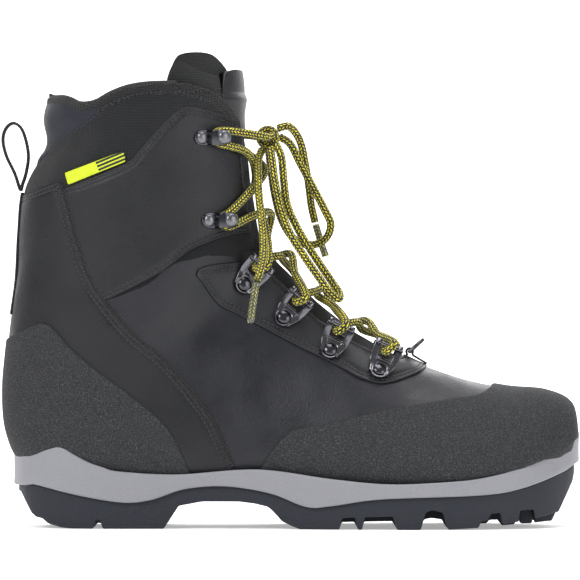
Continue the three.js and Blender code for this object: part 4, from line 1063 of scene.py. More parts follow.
# where the lace turns round a loop's bar or a hook's stem
def turnRound(name, side):
    matrix = fittingFrames[(name, side)]
    spots = []
    if name.startswith("loop"):
        for i, degrees in enumerate((-90, -145, 180, 145, 90)):
            turn = math.radians(degrees)
            spots.append((laceForm["barReach"] + laceForm["roundBar"] * math.cos(turn), side * 2.1 * (i - 2) / 2,
                          laceForm["barHeight"] + laceForm["roundBar"] * math.sin(turn)))
    else:
        for degrees in (-90, -135, 180, 135, 90):
            turn = math.radians(degrees)
            spots.append((laceForm["stemReach"] + laceForm["roundStem"] * math.cos(turn),
                          -side * laceForm["roundStem"] * math.sin(turn), laceForm["inHook"]))
    return [matrix[:3, :3] @ np.array(spot) + matrix[:3, 3] for spot in spots]


def crossingPoint(index, high):
    place, _ = placeOf(*laceForm["crossings"][index])
    return pointAt(place, math.pi) + normalAt(place, math.pi) * (laceForm["high"] if high else laceForm["low"])


def overEdge(name, index, side):
    fromPlace, fromAngle = placeOf(*fittingPlaces[name][1])
    toPlace, _ = placeOf(*laceForm["crossings"][index])
    place = (fromPlace + toPlace) / 2
    angle = fromAngle + (math.pi - fromAngle) * 0.45
    around = angle if side < 0 else 2 * math.pi - angle
    lift = 3.3 + (1.7 if name.startswith("loop") else 0)
    return pointAt(place, around) + normalAt(place, around) * lift


def ladder(sign):
    points, side = [], sign
    for i, name in enumerate(rowOrder):
        points += turnRound(name, side)
        if i < len(rowOrder) - 1:
            points.append(overEdge(name, i, side))
            points.append(crossingPoint(i, sign < 0))
            points.append(overEdge(rowOrder[i + 1], i, -side))
            side = -side
    kx, _, kz = laceForm["knot"]
    reach = (laceForm["knotSize"][1] + 0.6) * side
    points.append(np.array((kx - 2.5, reach + 5 * side, kz + 0.5)))
    points.append(np.array((kx, reach, kz)))
    return points


def lacedRoute():
    place, _ = placeOf(54, 93)
    bottom = pointAt(place, math.pi) + normalAt(place, math.pi) * 3.4
    return ladder(-1)[::-1] + [bottom] + ladder(1)


def tubeShape(route, radius=None, sides=14, perSpan=6, flat=1.0):
    line = catmullPath(route, perSpan)
    return sweep(line, ringSection(radius or laceForm["diameter"] / 2, sides, flat)), line


freeLaces = {
    "bow_loop_near": [(-8.4, -6.2, 202.6), (-5.5, -8.5, 196), (-4, -10.5, 182), (-2.2, -12, 170),
                      (2.8, -13, 158.5), (9, -13.5, 147.9), (16, -13.5, 137.3), (22, -13, 128.5),
                      (25.3, -14.5, 123.4), (25, -18.5, 120.6), (20.5, -21.8, 123.6), (14, -22.5, 132.4),
                      (6.5, -22.3, 143.2), (-0.8, -20.8, 155), (-5.6, -18.6, 168), (-9, -15.5, 184),
                      (-10.4, -11.5, 194.5), (-11.3, -7.9, 200.4)],
    "bow_loop_far": [(-6.2, 3.5, 206.5), (-1, 5.5, 203), (4.4, 7.5, 193), (10.9, 9.5, 180.7), (17.8, 10.5, 167.5),
                     (20.9, 12, 160), (18.2, 15, 152.6), (10.4, 18, 149.2), (1.4, 19.8, 152.5), (-5, 20.2, 162),
                     (-8.8, 18.4, 175.4), (-11, 14, 190), (-12.2, 9, 200)],
    "lace_tail_near": [(-15.7, -3.8, 199.3), (-17.4, -8, 194.5), (-17.6, -15, 186), (-17.2, -21.5, 175.4),
                       (-15.8, -27, 163), (-14.8, -33.2, 151.6), (-15, -40.4, 142), (-16.6, -46.8, 134),
                       (-18.1, -49.5, 130)],
    "lace_tail_far": [(-7, 1.2, 211), (-1.5, 3.5, 212), (4, 8, 205.5), (7.2, 13.4, 193), (9.2, 16.4, 180.7),
                      (10.6, 19.2, 170), (12.5, 21, 161.5)],
}
agletRoutes = {
    "aglet_near": [(-18.4, -49.9, 129), (-20, -51, 118.6), (-21.5, -51.5, 108)],
    "aglet_far": [(12.8, 21.3, 160.4), (15.6, 22.2, 151), (18.8, 23, 141.5)],
}


def makeLaces():
    shape, _ = tubeShape(lacedRoute(), sides=14, perSpan=8)
    makeShape("laced_run", shape, finishes["lace"], ("lace_run",))
    for name, route in agletRoutes.items():
        line = catmullPath(route, 10)
        share = np.linspace(0, 1, len(line))
        taper = np.where(share < 0.06, 0.95, 1.0) * np.where(share > 0.93, 1 - (share - 0.93) * 3.2, 1.0)
        sleeve = sweep(line, ringSection(1.95, 18), taper=taper)
        core = sweep(line[1:-2], ringSection(1.45, 12))
        makeShape(name + "_core", core, finishes["lace"])
        makeShape(name + "_sleeve", sleeve, finishes["aglet"], (name,))
        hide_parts(name)
    for name, route in freeLaces.items():
        shape, line = tubeShape(route, perSpan=8)
        piece = makeShape(name + "_braid", shape, finishes["lace"], (name,))


# the bow's knot: a strand wrapped twice round the crossing strands
def makeKnot():
    cx, cy, cz = laceForm["knot"]
    shapes = []
    for lean, shift, size in ((0.25, -1.6, 4.3), (-0.2, 1.9, 4.1)):
        loop = []
        for k in range(15):
            turn = 2 * math.pi * k / 14 + 0.6
            loop.append((cx + size * math.cos(turn), cy + shift + lean * 4 * math.sin(turn),
                         cz + size * 1.02 * math.sin(turn)))
        shapes.append(sweep(catmullPath(loop[:-1], 5), ringSection(2.05, 14), closed=True))
    crossOver = [(cx - 1, cy - 7.2, cz - 1), (cx + 1.5, cy - 5, cz + 0.5), (cx + 2.5, cy, cz + 1.0),
                 (cx + 1.5, cy + 5, cz + 0.2), (cx - 1, cy + 7.2, cz)]
    shapes.append(sweep(catmullPath(crossOver, 6), ringSection(2.05, 14)))
    crossUnder = [(cx - 2, cy - 7.2, cz), (cx - 3, cy, cz - 1), (cx - 2, cy + 7.2, cz - 1)]
    shapes.append(sweep(catmullPath(crossUnder, 8), ringSection(2.05, 14)))
    makeShape("bow_knot", joinShapes(shapes), finishes["lace"], ("lace_knot",))


makeLaces()
makeKnot()
print("laces ready")


# panels of the upper
soleTop = smoothLine([(-175, 36.5), (-146.6, 39.2), (-137.5, 42.9), (-128, 44.5), (-121.6, 43.5), (-114.7, 39.2),
                      (-106.8, 35), (-98.8, 32.3), (-90.9, 30.2), (-60, 28.6), (-18.3, 31.3), (20.4, 26.5),
                      (50, 23.9), (78.7, 24.9), (99.9, 27), (121.1, 32.3), (142.3, 41.3), (151.8, 48.8),
                      (170, 58)])


def region(*rules):
    return regionField(rules)


# what is below the midsole's edge stays inside it
def tuckedIn(table):
    below = np.interp(table[:, 0], soleTop[:, 0], soleTop[:, 1]) - table[:, 2]
    depth = 4.0 + 4.0 * np.clip((table[:, 0] - 108) / 20, 0, 1)
    return -depth * np.clip((below + 0.3) / 1.6, 0, 1) * np.clip((table[:, 0] - 90) / 30, 0, 1)


# the soft collar is drawn in above the heel and swells over it
def collarPinch(table):
    back = np.clip(-table[:, 3] * 1.5 - 0.45, 0, 1)
    z = table[:, 2]
    return back * (-3.4 * np.exp(-((z - 203) / 8.5) ** 2) + 0.3 * np.exp(-((z - 216) / 6.0) ** 2))


# the free end of the tongue leans back from the collar
def tongueLean(table):
    return -0.46 * np.clip(table[:, 2] - 226, 0, 30) * np.clip(table[:, 3] * 1.4, 0, 1)


def makeUpper():
    table = skinTable
    leather, thread = finishes["leather"], finishes["thread"]
    vamp = region(("feather", 1, -4.0), ("heelSeam", 1, -5), ("flexBottom", -1, -4), ("throat", 1, 0.0))
    makePanel("vamp_leather", vamp, leather, ("vamp",), rows=(("throat", (2.0,)),), seed=3,
              shape=tuckedIn)
    heel = region(("feather", 1, -4.0), ("heelSeam", -1, 0.2), ("heelTop", -1, 0.2))
    cuff = region(("heelSeam", 1, -4), ("cuffBottom", 1, 0.2), ("cuffTop", -1, 0.2), ("throat", 1, 0.0))
    flex = region(("heelSeam", 1, -4), ("flexBottom", 1, -3), ("cuffBottom", -1, -5), ("throat", 1, 0.4))
    seams["collarFall"] = smoothLine([(-62, 240), (-55, 233.8), (-47, 231.3), (-40, 228.6), (-34, 224),
                                      (-29.5, 217.5), (-25, 209), (-20, 190)])
    woven = region(("cuffTop", 1, -5), ("rearCollar", -1, -4), ("collar", -1, 2.0), ("throat", 1, 0.0),
                   ("collarFall", -1, 0.3))
    band = region(("collar", -1, 1.0), ("throat", 1, 0.0), ("collarFall", -1, 0.0), ("cuffTop", 1, -3))
    band = np.minimum(band, np.maximum(7.0 - np.minimum(-skinField("collar"), -skinField("collarFall")), -50))
    for side, name in ((-1, "lateral"), (1, "medial")):
        half = table[:, 1] * side
        makePanel("heel_leather_" + name, np.minimum(heel, half - 0.15), finishes["shaftLeather"],
                  ("heel_quarter_" + name,), top=1.1, bottom=-0.4, roll=0.7, rows=("heelSeam", "heelTop"), seed=5)
        makePanel("cuff_leather_" + name, np.minimum(cuff, half), finishes["shaftLeather"],
                  ("cuff_quarter_" + name,), top=0.9, bottom=-0.6, roll=0.7,
                  rows=("cuffBottom", "cuffTop", ("throat", (2.0,))), seed=7)
        makePanel("flex_textile_" + name, np.minimum(flex, half), finishes["flex"],
                  ("ankle_flex_panel_" + name,), top=-0.6, bottom=-1.8, puff=0.7, puffReach=3.0, seed=9)
        makePanel("woven_textile_" + name, np.minimum(woven, half), finishes["woven"],
                  ("woven_cuff_" + name,), top=-0.1, bottom=-1.7, puff=0.8, puffReach=4.0,
                  unevenness=0.25, seed=11, shape=collarPinch)
        makePanel("collar_band_" + name, np.minimum(band, half + 0.2), finishes["binding"],
                  ("collar_binding",), top=0.9, bottom=-1.2, roll=0.8, rows=(("collar", (5.6,)),
                                                                           ("collarFall", (5.6,))),
                  unevenness=0.2, seed=12)
    rear = region(("heelTop", 1, -3), ("rearCollar", 1, 0.2), ("collar", -1, 2.0))
    piece = makePanel("rear_collar_padded", rear, finishes["lycra"], ("rear_collar",), top=0.0,
                      bottom=-2.8, puff=2.2, puffReach=5.0, rows=(("rearCollar", (1.8,)),), unevenness=0.3, seed=13,
                      shape=collarPinch)
    heelRand = region(("feather", 1, -4), ("heelRandTop", -1, 0))
    makePanel("heel_rand_cover", heelRand, finishes["rand"], ("heel_rand",), top=2.3, bottom=0.4, roll=1.0,
              seed=15)
    toeRand = region(("feather", 1, -5), ("toeRandTop", -1, 0))
    makePanel("toe_rand_cover", toeRand, finishes["rand"], ("toe_rand",), top=1.5, bottom=-0.4, roll=1.0,
              seed=17, shape=tuckedIn)
    eyestayLine = smoothLine([(-14, 139.5), (-30, 139.8), (-44, 138), (-50.2, 134.4), (-46, 127.5), (-38.5, 117.6),
                              (-30, 113), (-21.1, 108.4), (-7.9, 101.4), (5.4, 94.3), (18.7, 88.1), (28.4, 82.8),
                              (37.4, 78.2), (49.6, 76), (68.1, 82), (76, 90)])
    outline = np.vstack([eyestayLine, [(100, 120), (60, 150), (0, 170), (-10, 150)]])
    seams["eyestay"] = eyestayLine
    eyestay = np.minimum(outlineField(outline, table), skinField("throat") - 0.1)
    for side, name in ((-1, "lateral"), (1, "medial")):
        makePanel("eyestay_leather_" + name, np.minimum(eyestay, table[:, 1] * side - 2.0), finishes["eyestay"],
                  ("eyestay_" + name,), top=1.3, bottom=-0.2, roll=0.6,
                  rows=("eyestay", ("throat", (2.2,))), seed=19)
    strip = np.min([4.5 - np.abs(table[:, 1]), table[:, 2] - 112, 176.5 - table[:, 2], -133 - table[:, 0]], axis=0)
    makePanel("backstay_webbing", strip, finishes["webbing"], ("backstay_strip",), top=2.1, bottom=0.6,
              roll=0.5, unevenness=0.05)
    board = region(("feather", -1, 1.0))
    makePanel("lasting_board_sheet", board, finishes["board"], ("lasting_board",), top=0.0, bottom=-3.0,
              shape=tuckedIn)
    label = outlineField(np.array([(-118.4, 186.4), (-116.6, 180.4), (-86.4, 192.6), (-88, 198)]), table)
    label = np.minimum(label, -table[:, 1])
    makePanel("label_patch", label, finishes["label"], ("side_label",), top=1.7, bottom=0.2, roll=0.35,
              unevenness=0.03)
    lining = region(("collar", -1, 3.0), ("feather", 1, -200))
    behindTongue = -seamField(smoothLine([(-64, 236), (-63, 215), (-58, 192), (-50, 170), (-38, 150), (-22, 132),
                                          (-4, 114), (16, 97), (34, 85), (52, 79), (72, 80)]), table)
    lining = np.minimum(lining, -behindTongue)
    makePanel("lining_sock", lining, finishes["lining"], ("bootie_lining",), top=-3.3, bottom=-5.6,
              roll=1.0, unevenness=0.15, seed=21)
    tongueOutline = np.vstack([smoothLine([(-22, 232), (-26.5, 240.5), (-31, 246.5), (-37, 250.6), (-46, 251.2),
                                           (-56, 249.1), (-61.7, 241.7), (-64, 236)]),
                               smoothLine([(-64, 236), (-63, 215), (-58, 192), (-50, 170), (-38, 150), (-22, 132),
                                           (-4, 114), (16, 97), (34, 85), (52, 79), (72, 80)]),
                               [(82, 100), (20, 150), (0, 200)]])
    tongue = outlineField(tongueOutline, table)
    piece = makePanel("tongue_padded", tongue, finishes["tongue"], ("tongue",), top=-3.6,
                      bottom=-7.3, roll=1.6, puff=1.9, puffReach=6.0, unevenness=0.35, seed=23, shape=tongueLean)
    tab = outlineField(np.array([(-32.4, 240.6), (-28, 242), (-16, 241.6), (-14, 210), (-25, 208), (-31, 214),
                                 (-35.4, 222), (-34.6, 231)]), table)
    makePanel("tongue_tab_leather", tab, leather, ("tongue_tab",), top=-0.6, bottom=-2.2, roll=0.6,
              unevenness=0.05, shape=tongueLean)
    insole = region(("feather", -1, -12.0))
    makePanel("insole_foam", insole, finishes["insole"], ("insole",), top=-5.8, bottom=-10.0, roll=1.0)
    for name in list(stitchSpots):
        makeStitches(name + "_stitches", name, thread)


makeUpper()
print("upper ready")


def makeTrim():
    for side, name in ((-1, "lateral"), (1, "medial")):
        line = seams["heelSeam"]
        keep = [p for p in line if 33 < p[1] < 181]
        path = []
        for x, z in keep[::2]:
            point, normal = seatAt(x, z, side)
            path.append(point + normal * 0.75)
        shape = sweep(catmullPath(path, 2), ringSection(1.15, 10))
        makeShape("heel_piping_" + name, shape, finishes["binding"])
    half = []
    collar = seams["collar"]
    for i in range(41):
        x = -60 - 71 * math.sin(math.pi / 2 * i / 40)
        z = float(np.interp(x, collar[::1, 0], collar[::1, 1])) - 2.3
        half.append((x, z))
    middle = -(1.6 + 2.3) / 2
    lateral = [seatAt(x, z, -1) for x, z in half[:-1]]
    medial = [seatAt(x, z, 1) for x, z in half[:-1]]
    rear, _ = seatAt(-131, 226, -1)
    route = [p + n * middle for p, n in lateral] + [np.array((rear[0], 0, rear[2]))]
    route += [p + n * middle for p, n in medial[::-1]]
    line = catmullPath(route, 3)
    shape = sweep(line, ringSection(2.6, 16, 1.1), up=(0, 0, 1))
    makeShape("collar_edge", shape, finishes["binding"], ("collar_binding",))


def closedSpline(points, pieces):
    points = np.array(points, float)
    count = len(points)
    line = []
    for k in range(pieces):
        place = k * count / pieces
        i, t = int(place), place - int(place)
        p0, p1, p2, p3 = (points[(i + j) % count] for j in (-1, 0, 1, 2))
        line.append(0.5 * (2 * p1 + (p2 - p0) * t + (2 * p0 - 5 * p1 + 4 * p2 - p3) * t * t
                           + (3 * p1 - p0 - 3 * p2 + p3) * t ** 3))
    return np.array(line)


pullForm = [(-143.7, 178.3), (-146.6, 186.8), (-151.1, 196.3), (-152.9, 204.6), (-151.4, 210.6), (-147.5, 213.6),
            (-143.3, 211.0), (-140.6, 204), (-139.4, 195.6), (-140.7, 187), (-142.5, 181.4)]


def makePullLoop():
    line = closedSpline(pullForm, 66)
    path = np.stack([line[:, 0], np.zeros(len(line)), line[:, 1]], 1)
    shape = sweep(path, roundedSection(9, 1.5, 0.5)[:, ::1], closed=True, up=(0, 1, 0))
    makeShape("pull_loop_webbing", shape, finishes["webbing"], ("pull_loop",), "pull_loop")


ringForm = {"pivot": (62.6, 92.6), "wire": 1.0, "bar": 11.0, "turn": 42}


def makeGaiterRing():
    px, pz = ringForm["pivot"]
    half, turn = ringForm["bar"] / 2, math.radians(ringForm["turn"])
    nose = [(0, half, 0)]
    for i in range(25):
        a = math.pi * i / 24
        nose.append((2 + 7.5 * math.sin(a), half * math.cos(a), 0))
    nose.append((0, -half, 0))
    bow = sweep(catmullPath(nose, 3), ringSection(ringForm["wire"], 12))
    bar = sweep([(0, y, 0) for y in np.linspace(-half - 1, half + 1, 9)], ringSection(ringForm["wire"], 12),
                taper=[0.8, 1, 1, 1, 1, 1, 1, 1, 0.8])
    points, faces, uv = joinShapes([bow, bar])
    rotated = points.copy()
    rotated[:, 0] = points[:, 0] * math.cos(turn) - points[:, 2] * math.sin(turn) + px
    rotated[:, 2] = points[:, 0] * math.sin(turn) + points[:, 2] * math.cos(turn) + pz
    makeShape("ring_wire", (rotated, faces, uv), finishes["gunmetal"], ("gaiter_ring",), "gaiter_ring")
    path = [(px + 9, 0, pz - 6.3), (px + 5, 0, pz - 3.9), (px + 1.7, 0, pz - 1.7)]
    for i in range(9):
        a = math.radians(-30 + 210 * i / 8)
        path.append((px + 1.75 * math.cos(a), 0, pz + 1.75 * math.sin(a)))
    path.append((px - 1.2, 0, pz - 2.0))
    line = catmullPath(path, 4)
    taper = np.ones(len(line))
    shape = sweep(line, roundedSection(7.2, 1.1, 0.4), up=(0, 1, 0), taper=taper)
    makeShape("tab_leather", shape, finishes["leather"], ("gaiter_tab",))


makeTrim()
makePullLoop()
makeGaiterRing()
print("trim ready")


# metal fittings
# plate with a rolled edge, two broad arms and a bar between square ends
def loopShape():
    base = 2.2
    shapes = [lathe([(1.2, base), (4.9, base), (5.2, base + 0.3), (5.2, base + 1.1), (4.9, base + 1.5),
                     (4.3, base + 1.5), (4.0, base + 1.15), (1.2, base + 1.15)], 28)]
    for y in (-1, 1):
        arm = [(-2.4, y * 3.3, base + 0.75), (1.2, y * 4.2, base + 0.8), (4.6, y * 5.3, base + 1.5),
               (7.8, y * 5.9, base + 3.4), (10.6, y * 6.0, base + 5.4), (12.9, y * 6.0, base + 6.6)]
        shapes.append(sweep(catmullPath(arm, 5), roundedSection(3.6, 1.5, 0.4), up=(0, 1, 0)))
        cap = [(12.5, y * 4.6, 9.0), (12.5, y * 4.9, 9.0), (12.5, y * 7.0, 9.0), (12.5, y * 7.3, 9.0)]
        shapes.append(sweep(np.array(cap), roundedSection(3.8, 3.4, 0.6), taper=[0.85, 1, 1, 0.85], up=(0, 0, 1)))
    web = [(1.6, 0, base + 0.6), (3.4, 0, base + 0.65), (5.4, 0, base + 1.2)]
    shapes.append(sweep(np.array(web, float), roundedSection(9.6, 1.2, 0.35), up=(0, 1, 0), widths=[0.9, 1, 1.05]))
    lip = [(5.9, y, base + 2.0) for y in np.linspace(-5.2, 5.2, 7)]
    shapes.append(sweep(np.array(lip), roundedSection(1.8, 1.5, 0.5), up=(0, 0, 1)))
    bar = [(12.5, y, 9.0) for y in np.linspace(-5.4, 5.4, 7)]
    shapes.append(sweep(np.array(bar), ringSection(1.2, 14)))
    return joinShapes(shapes)


def rivetShape():
    top = 3.7
    return joinShapes([lathe([(1.05, -3.2), (1.05, top), (3.5, top), (3.6, top + 0.25), (3.4, top + 0.6),
                              (2.9, top + 0.95), (2.1, top + 1.25), (1.1, top + 1.45), (0.2, top + 1.5)], 28)])


# one long plate: flat at the rivet, stepping up over the lace, with a stem and washer; the domes at each end are
# made in hookDomes
def hookShape():
    base = 0.5
    path = catmullPath([(-4.4, 0, base + 0.6), (0, 0, base + 0.6), (2.6, 0, base + 0.7), (3.5, 0, base + 2.6),
                        (4.4, 0, 5.4), (5.8, 0, 6.5), (8.4, 0, 6.8), (10.6, 0, 6.8), (12.6, 0, 6.7), (13.8, 0, 6.5),
                        (14.4, 0, 6.4)], 6)
    ends = np.minimum(path[:, 0] + 4.4, 14.4 - path[:, 0]) / 4.4
    widths = np.sqrt(np.clip(1 - (1 - np.clip(ends, 0.02, 1)) ** 2, 0, 1))
    shapes = [sweep(path, roundedSection(8.2, 1.1, 0.45), up=(0, 1, 0), widths=widths)]
    stem = [(9.2, 0, base), (9.2, 0, 3.4), (9.2, 0, 6.6)]
    shapes.append(sweep(catmullPath(stem, 5), ringSection(1.05, 14)))
    shapes.append(lathe([(1.0, base), (1.6, base + 0.5), (3.0, base + 0.9), (3.0, base)], 20, (9.2, 0)))
    return joinShapes(shapes)


def hookDomes():
    rivetHead = lathe([(3.3, 1.4), (3.35, 1.8), (3.0, 2.4), (2.2, 2.9), (1.2, 3.2), (0.2, 3.3)], 28)
    hookHead = lathe([(3.7, 7.0), (3.75, 7.4), (3.4, 8.0), (2.5, 8.55), (1.3, 8.85), (0.2, 8.95)], 28, (10.2, 0))
    return joinShapes([rivetHead, hookHead])


def makeFittings():
    loop, rivet, hook, domes = loopShape(), rivetShape(), hookShape(), hookDomes()
    for (name, side), matrix in fittingFrames.items():
        sideName = "lateral" if side < 0 else "medial"
        if name.startswith("loop"):
            makeShape("bracket_%s_%s" % (name, sideName), moved(loop, matrix), finishes["nickelDark"],
                      ("lace_%s_%s" % (name, sideName),), sharp=50)
            makeShape("rivet_head_%s_%s" % (name, sideName), moved(rivet, matrix), finishes["gunmetal"],
                      ("rivet_%s_%s" % (name, sideName),), sharp=50)
        else:
            makeShape("metal_%s_%s" % (name, sideName), moved(hook, matrix), finishes["gunmetal"],
                      ("speed_%s_%s" % (name, sideName),), sharp=50)
            makeShape("domes_%s_%s" % (name, sideName), moved(domes, matrix), finishes["nickel"],
                      ("speed_%s_%s" % (name, sideName),))


makeFittings()
print("fittings ready")


# sole
soleForm = {
    "half": [(-147, 0), (-144.5, 12), (-139, 22), (-128, 31), (-112, 36.5), (-88, 38.5), (-60, 38.5), (-30, 40),
             (0, 45), (30, 51), (60, 54.5), (85, 54.6), (105, 50.5), (122, 42.5), (136, 31), (146, 18), (151, 8),
             (152.4, 0)],
    "inner": [1, 1, 1, 0.99, 0.98, 0.96, 0.92, 0.9, 0.9, 0.91, 0.93, 0.96, 1, 1.02, 1.03, 1.03, 1.02, 1],
    "top": soleTop,
    "bottom": smoothLine([(-175, 22), (-142.8, 22.3), (-135.9, 22.8), (-120, 19.1), (-101.5, 15.4), (-86, 13.6),
                          (-72.3, 15.4), (-56.4, 20.7), (-35.2, 22.3), (-11.4, 18.6), (7.2, 11.7), (20.4, 12.2),
                          (46.9, 15.9), (99.9, 18), (121.1, 21.2), (142.3, 28.6), (151, 33.5), (170, 44)]),
    "tread": [(-143.2, 19), (-140.2, 13.8), (-137, 8), (-134.4, 5.8), (-131, 5.2), (-128, 2.6), (-121, 0.6),
              (-115, 0), (-104, 0), (-102.6, 4.6), (-100.4, 4.6), (-99, 0), (-67, 0), (-59.1, 12), (-46.9, 14.3),
              (-27.3, 14.3), (-19.3, 13.3), (-12.5, 11.7), (-9.8, 9.5), (-5, 4.2), (0.3, 1.6), (4.5, 0), (25, 0),
              (26.6, 6), (33, 6.4), (34.6, 0), (36.8, 0), (38.4, 6.6), (53, 7), (55, 0), (67.4, 0), (70, 9),
              (73.4, 10.4), (79, 9), (81.6, 0.2), (97.6, 1), (99, 4.4), (102.6, 4.8), (104.2, 8.4), (109, 8.6),
              (110.6, 2.6), (119, 4), (119.6, 9.8), (126.8, 10), (127.6, 5.4), (136, 7.4), (140.7, 8.5),
              (142.3, 11.7), (145.5, 18), (148.7, 24.4), (149.7, 28.6)],
}


def soleOutline(pieces=360):
    outer = [(x, -y) for x, y in soleForm["half"]]
    inner = [(x, y * share) for (x, y), share in zip(soleForm["half"], soleForm["inner"])][::-1]
    return closedSpline(outer + inner[1:-1], pieces)


def drawnIn(line, inset):
    along = np.roll(line, -1, 0) - np.roll(line, 1, 0)
    along /= np.linalg.norm(along, axis=1, keepdims=True)
    return np.stack([line[:, 0] - along[:, 1] * inset, line[:, 1] + along[:, 0] * inset], 1)


def makeMidsole():
    outline = soleOutline()
    topZ = np.interp(outline[:, 0], soleForm["top"][:, 0], soleForm["top"][:, 1])
    lowZ = np.interp(outline[:, 0], soleForm["bottom"][:, 0], soleForm["bottom"][:, 1])
    profile = [(9, "low", 1.5), (4, "low", 0.4), (1.6, "low", 0.0), (0.8, "low", 0.12), (0.25, "low", 0.5),
               (0.0, "low", 1.2), (0.15, "mid", 0.3), (0.15, "mid", 0.62), (0.0, "top", -1.6), (0.1, "top", -0.7),
               (0.4, "top", -0.2), (0.9, "top", 0.0), (1.9, "top", 0.0), (3.2, "top", -0.5), (9, "top", -3.5)]
    rings = []
    for inset, kind, value in profile:
        flatRing = drawnIn(outline, inset)
        z = lowZ + value if kind == "low" else topZ + value if kind == "top" else lowZ + (topZ - lowZ) * value
        rings.append(np.column_stack([flatRing, z]))
    count = len(outline)
    points = np.vstack(rings)
    faces = []
    for i in range(len(rings) - 1):
        for k in range(count):
            a, b = i * count + k, i * count + (k + 1) % count
            faces.append((a, b, b + count, a + count))
    for base, turned in ((0, True), ((len(rings) - 1) * count, False)):
        for k in range(1, count // 2):
            a, b = base + k, base + k + 1
            c, d = base + (count - k - 1) % count, base + (count - k) % count
            quad = (a, b, c, d) if b != c else (a, b, d)
            faces.append(tuple(reversed(quad)) if not turned else quad)
    makeShape("midsole_frame", (points, faces, points[:, :2]), finishes["midsole"], ("midsole",))


# corners of a tread line cut back, so that they catch the light
def softened(line, reach=0.55):
    result = [line[0]]
    for before, here, after in zip(line[:-2], line[1:-1], line[2:]):
        before, here, after = np.array(before), np.array(here), np.array(after)
        back, ahead = before - here, after - here
        cut = min(reach, 0.35 * np.linalg.norm(back), 0.35 * np.linalg.norm(ahead))
        result.append(tuple(here + back / np.linalg.norm(back) * cut))
        result.append(tuple(here + ahead / np.linalg.norm(ahead) * cut))
    result.append(line[-1])
    return np.array(result)


def makeOutsole():
    outline = drawnIn(soleOutline(720), 2.5)
    outer, inner = outline[outline[:, 1] < 0], outline[outline[:, 1] >= 0]
    outer, inner = outer[outer[:, 0].argsort()], inner[inner[:, 0].argsort()]
    tread = softened(soleForm["tread"])
    xs = np.unique(np.round(np.concatenate([tread[:, 0], np.arange(-143, 149.7, 2.0),
                                            [-144.3, -144, -143.6, 148.6, 149.2, 149.6]]), 3))
    rings = []
    for x in xs:
        left = float(np.interp(x, outer[:, 0], outer[:, 1]))
        right = float(np.interp(x, inner[:, 0], inner[:, 1]))
        top = float(np.interp(x, soleForm["bottom"][:, 0], soleForm["bottom"][:, 1])) - 0.2
        low = float(np.interp(x, tread[:, 0], tread[:, 1]))
        low = min(low, top - 0.6)
        ring = []
        span = max(right - left, 0.5)
        bevel = min(0.9, span * 0.2, (top - low) * 0.4)
        ring += [(left + 0.15, top), (left, top - 0.2 * (top - low)), (left, low + bevel),
                 (left + bevel * 0.3, low + bevel * 0.3), (left + bevel, low)]
        stops = []
        filled = low * 0.5 if (x < -98 and x > -106) or 24 < x < 118 or 128 < x < 139 else low
        if -6.5 < x < 142.5:
            for centre in (-17, 15):
                stops += [(centre - 5.6, 0), (centre - 4.9, 2), (centre - 4.3, 1), (centre + 4.3, 1),
                          (centre + 4.9, 2), (centre + 5.6, 2 if centre < 0 else 0)]
        else:
            stops = [(y, 2 if abs(y) < 16 else 0) for y in (-20, -17, -14, -8, -3, 3, 6, 9, 12, 14, 17, 20)]
        for y, cut in stops:
            y = min(max(y, left + bevel + 0.05), right - bevel - 0.05)
            ring.append((y, max(filled, 5.4) if cut == 1 else filled if cut == 2 else low))
        ring += [(right - bevel, low), (right - bevel * 0.3, low + bevel * 0.3), (right, low + bevel),
                 (right, top - 0.2 * (top - low)), (right - 0.15, top)]
        rings.append([(x, y, z) for y, z in ring])
    count = len(rings[0])
    points = np.array([p for ring in rings for p in ring])
    faces = []
    for i in range(len(rings) - 1):
        for k in range(count):
            a, b = i * count + k, i * count + (k + 1) % count
            faces.append((a, b, b + count, a + count))
    faces.append(tuple(range(count - 1, -1, -1)))
    faces.append(tuple(range((len(rings) - 1) * count, len(rings) * count)))
    lugs = [(points, faces, points[:, :2])]
    for side in (-1, 1):
        ear = [(123.2, side * y, 6.2) for y in (16.4, 17.0, 26.6, 27.4)]
        lugs.append(sweep(np.array(ear), roundedSection(7.4, 6.6, 1.2), taper=[0.9, 1, 1, 0.9], up=(0, 0, 1)))
    makeShape("outsole_tread", joinShapes(lugs), finishes["rubber"], ("outsole",),
              sharp=38)


makeMidsole()
makeOutsole()
print("sole ready")


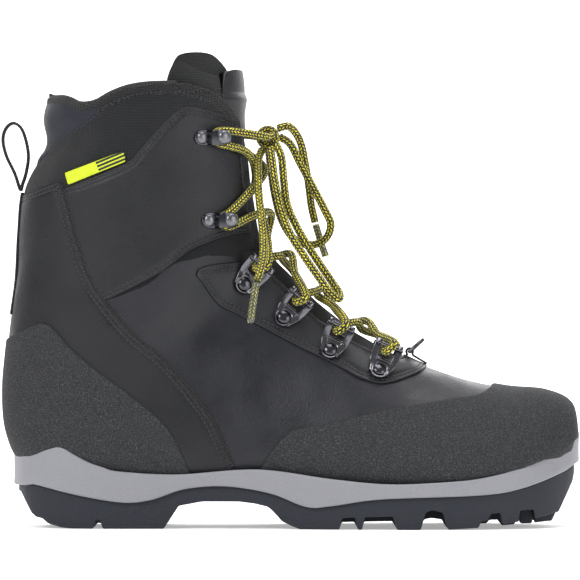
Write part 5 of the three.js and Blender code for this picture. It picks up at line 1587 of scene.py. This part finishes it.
# floor and light
def makeStage():
    size = studio["floorSize"]
    points, faces = [], []
    profile = [(-size, 0.0), (3.9, 0.0), (4.3, 0.03), (4.6, 0.15), (4.8, 0.4), (4.9, 0.8), (4.9, size)]
    for y, z in profile:
        points += [(-size, y, z), (size, y, z)]
    for i in range(len(profile) - 1):
        faces.append((2 * i, 2 * i + 1, 2 * i + 3, 2 * i + 2))
    mesh = bpy.data.meshes.new("floor")
    mesh.from_pydata(points, [], faces)
    mesh.polygons.foreach_set("use_smooth", [True] * len(mesh.polygons))
    floor = bpy.data.objects.new("floor", mesh)
    bpy.context.scene.collection.objects.link(floor)
    material, nodes, links, shader = newMaterial("paper", 0.9)
    shade = noiseNode(nodes, links, millimetres(nodes, links), 0.004, 2)
    links.new(rampNode(nodes, links, shade, [(0.2, (0.9, 0.9, 0.9)), (0.8, (0.94, 0.94, 0.94))]),
              shader.inputs["Base Color"])
    _, depth, _ = split(nodes, links, millimetres(nodes, links))
    # painted light: the floor glows, faintly near the boot and fully far back, so the backdrop reads white and the
    # boot is lit from below
    glow = nodes.new("ShaderNodeMapRange")
    glow.inputs["From Min"].default_value, glow.inputs["From Max"].default_value = 700, 2600
    glow.inputs["To Min"].default_value, glow.inputs["To Max"].default_value = 0.35, 1.0
    links.new(depth, glow.inputs["Value"])
    shader.inputs["Emission Color"].default_value = (1, 1, 1, 1)
    links.new(glow.outputs[0], shader.inputs["Emission Strength"])
    floor.data.materials.append(material)
    makeLight("key", (-1.1, -1.4, 1.4), (1.0, 0.9), 26)
    makeLight("fill", (1.5, -1.2, 0.6), (0.9, 1.2), 9)
    makeLight("top", (0.1, 0.1, 1.7), (1.4, 1.0), 20)
    makeLight("rim", (0.6, 1.4, 1.0), (1.2, 0.8), 8)
    world = bpy.data.worlds.new("studio")
    bpy.context.scene.world = world
    world.use_nodes = True
    world.node_tree.nodes["Background"].inputs["Color"].default_value = (1, 1, 1, 1)
    world.node_tree.nodes["Background"].inputs["Strength"].default_value = studio["worldStrength"]
    bpy.context.scene.view_settings.view_transform = "Standard"


makeStage()
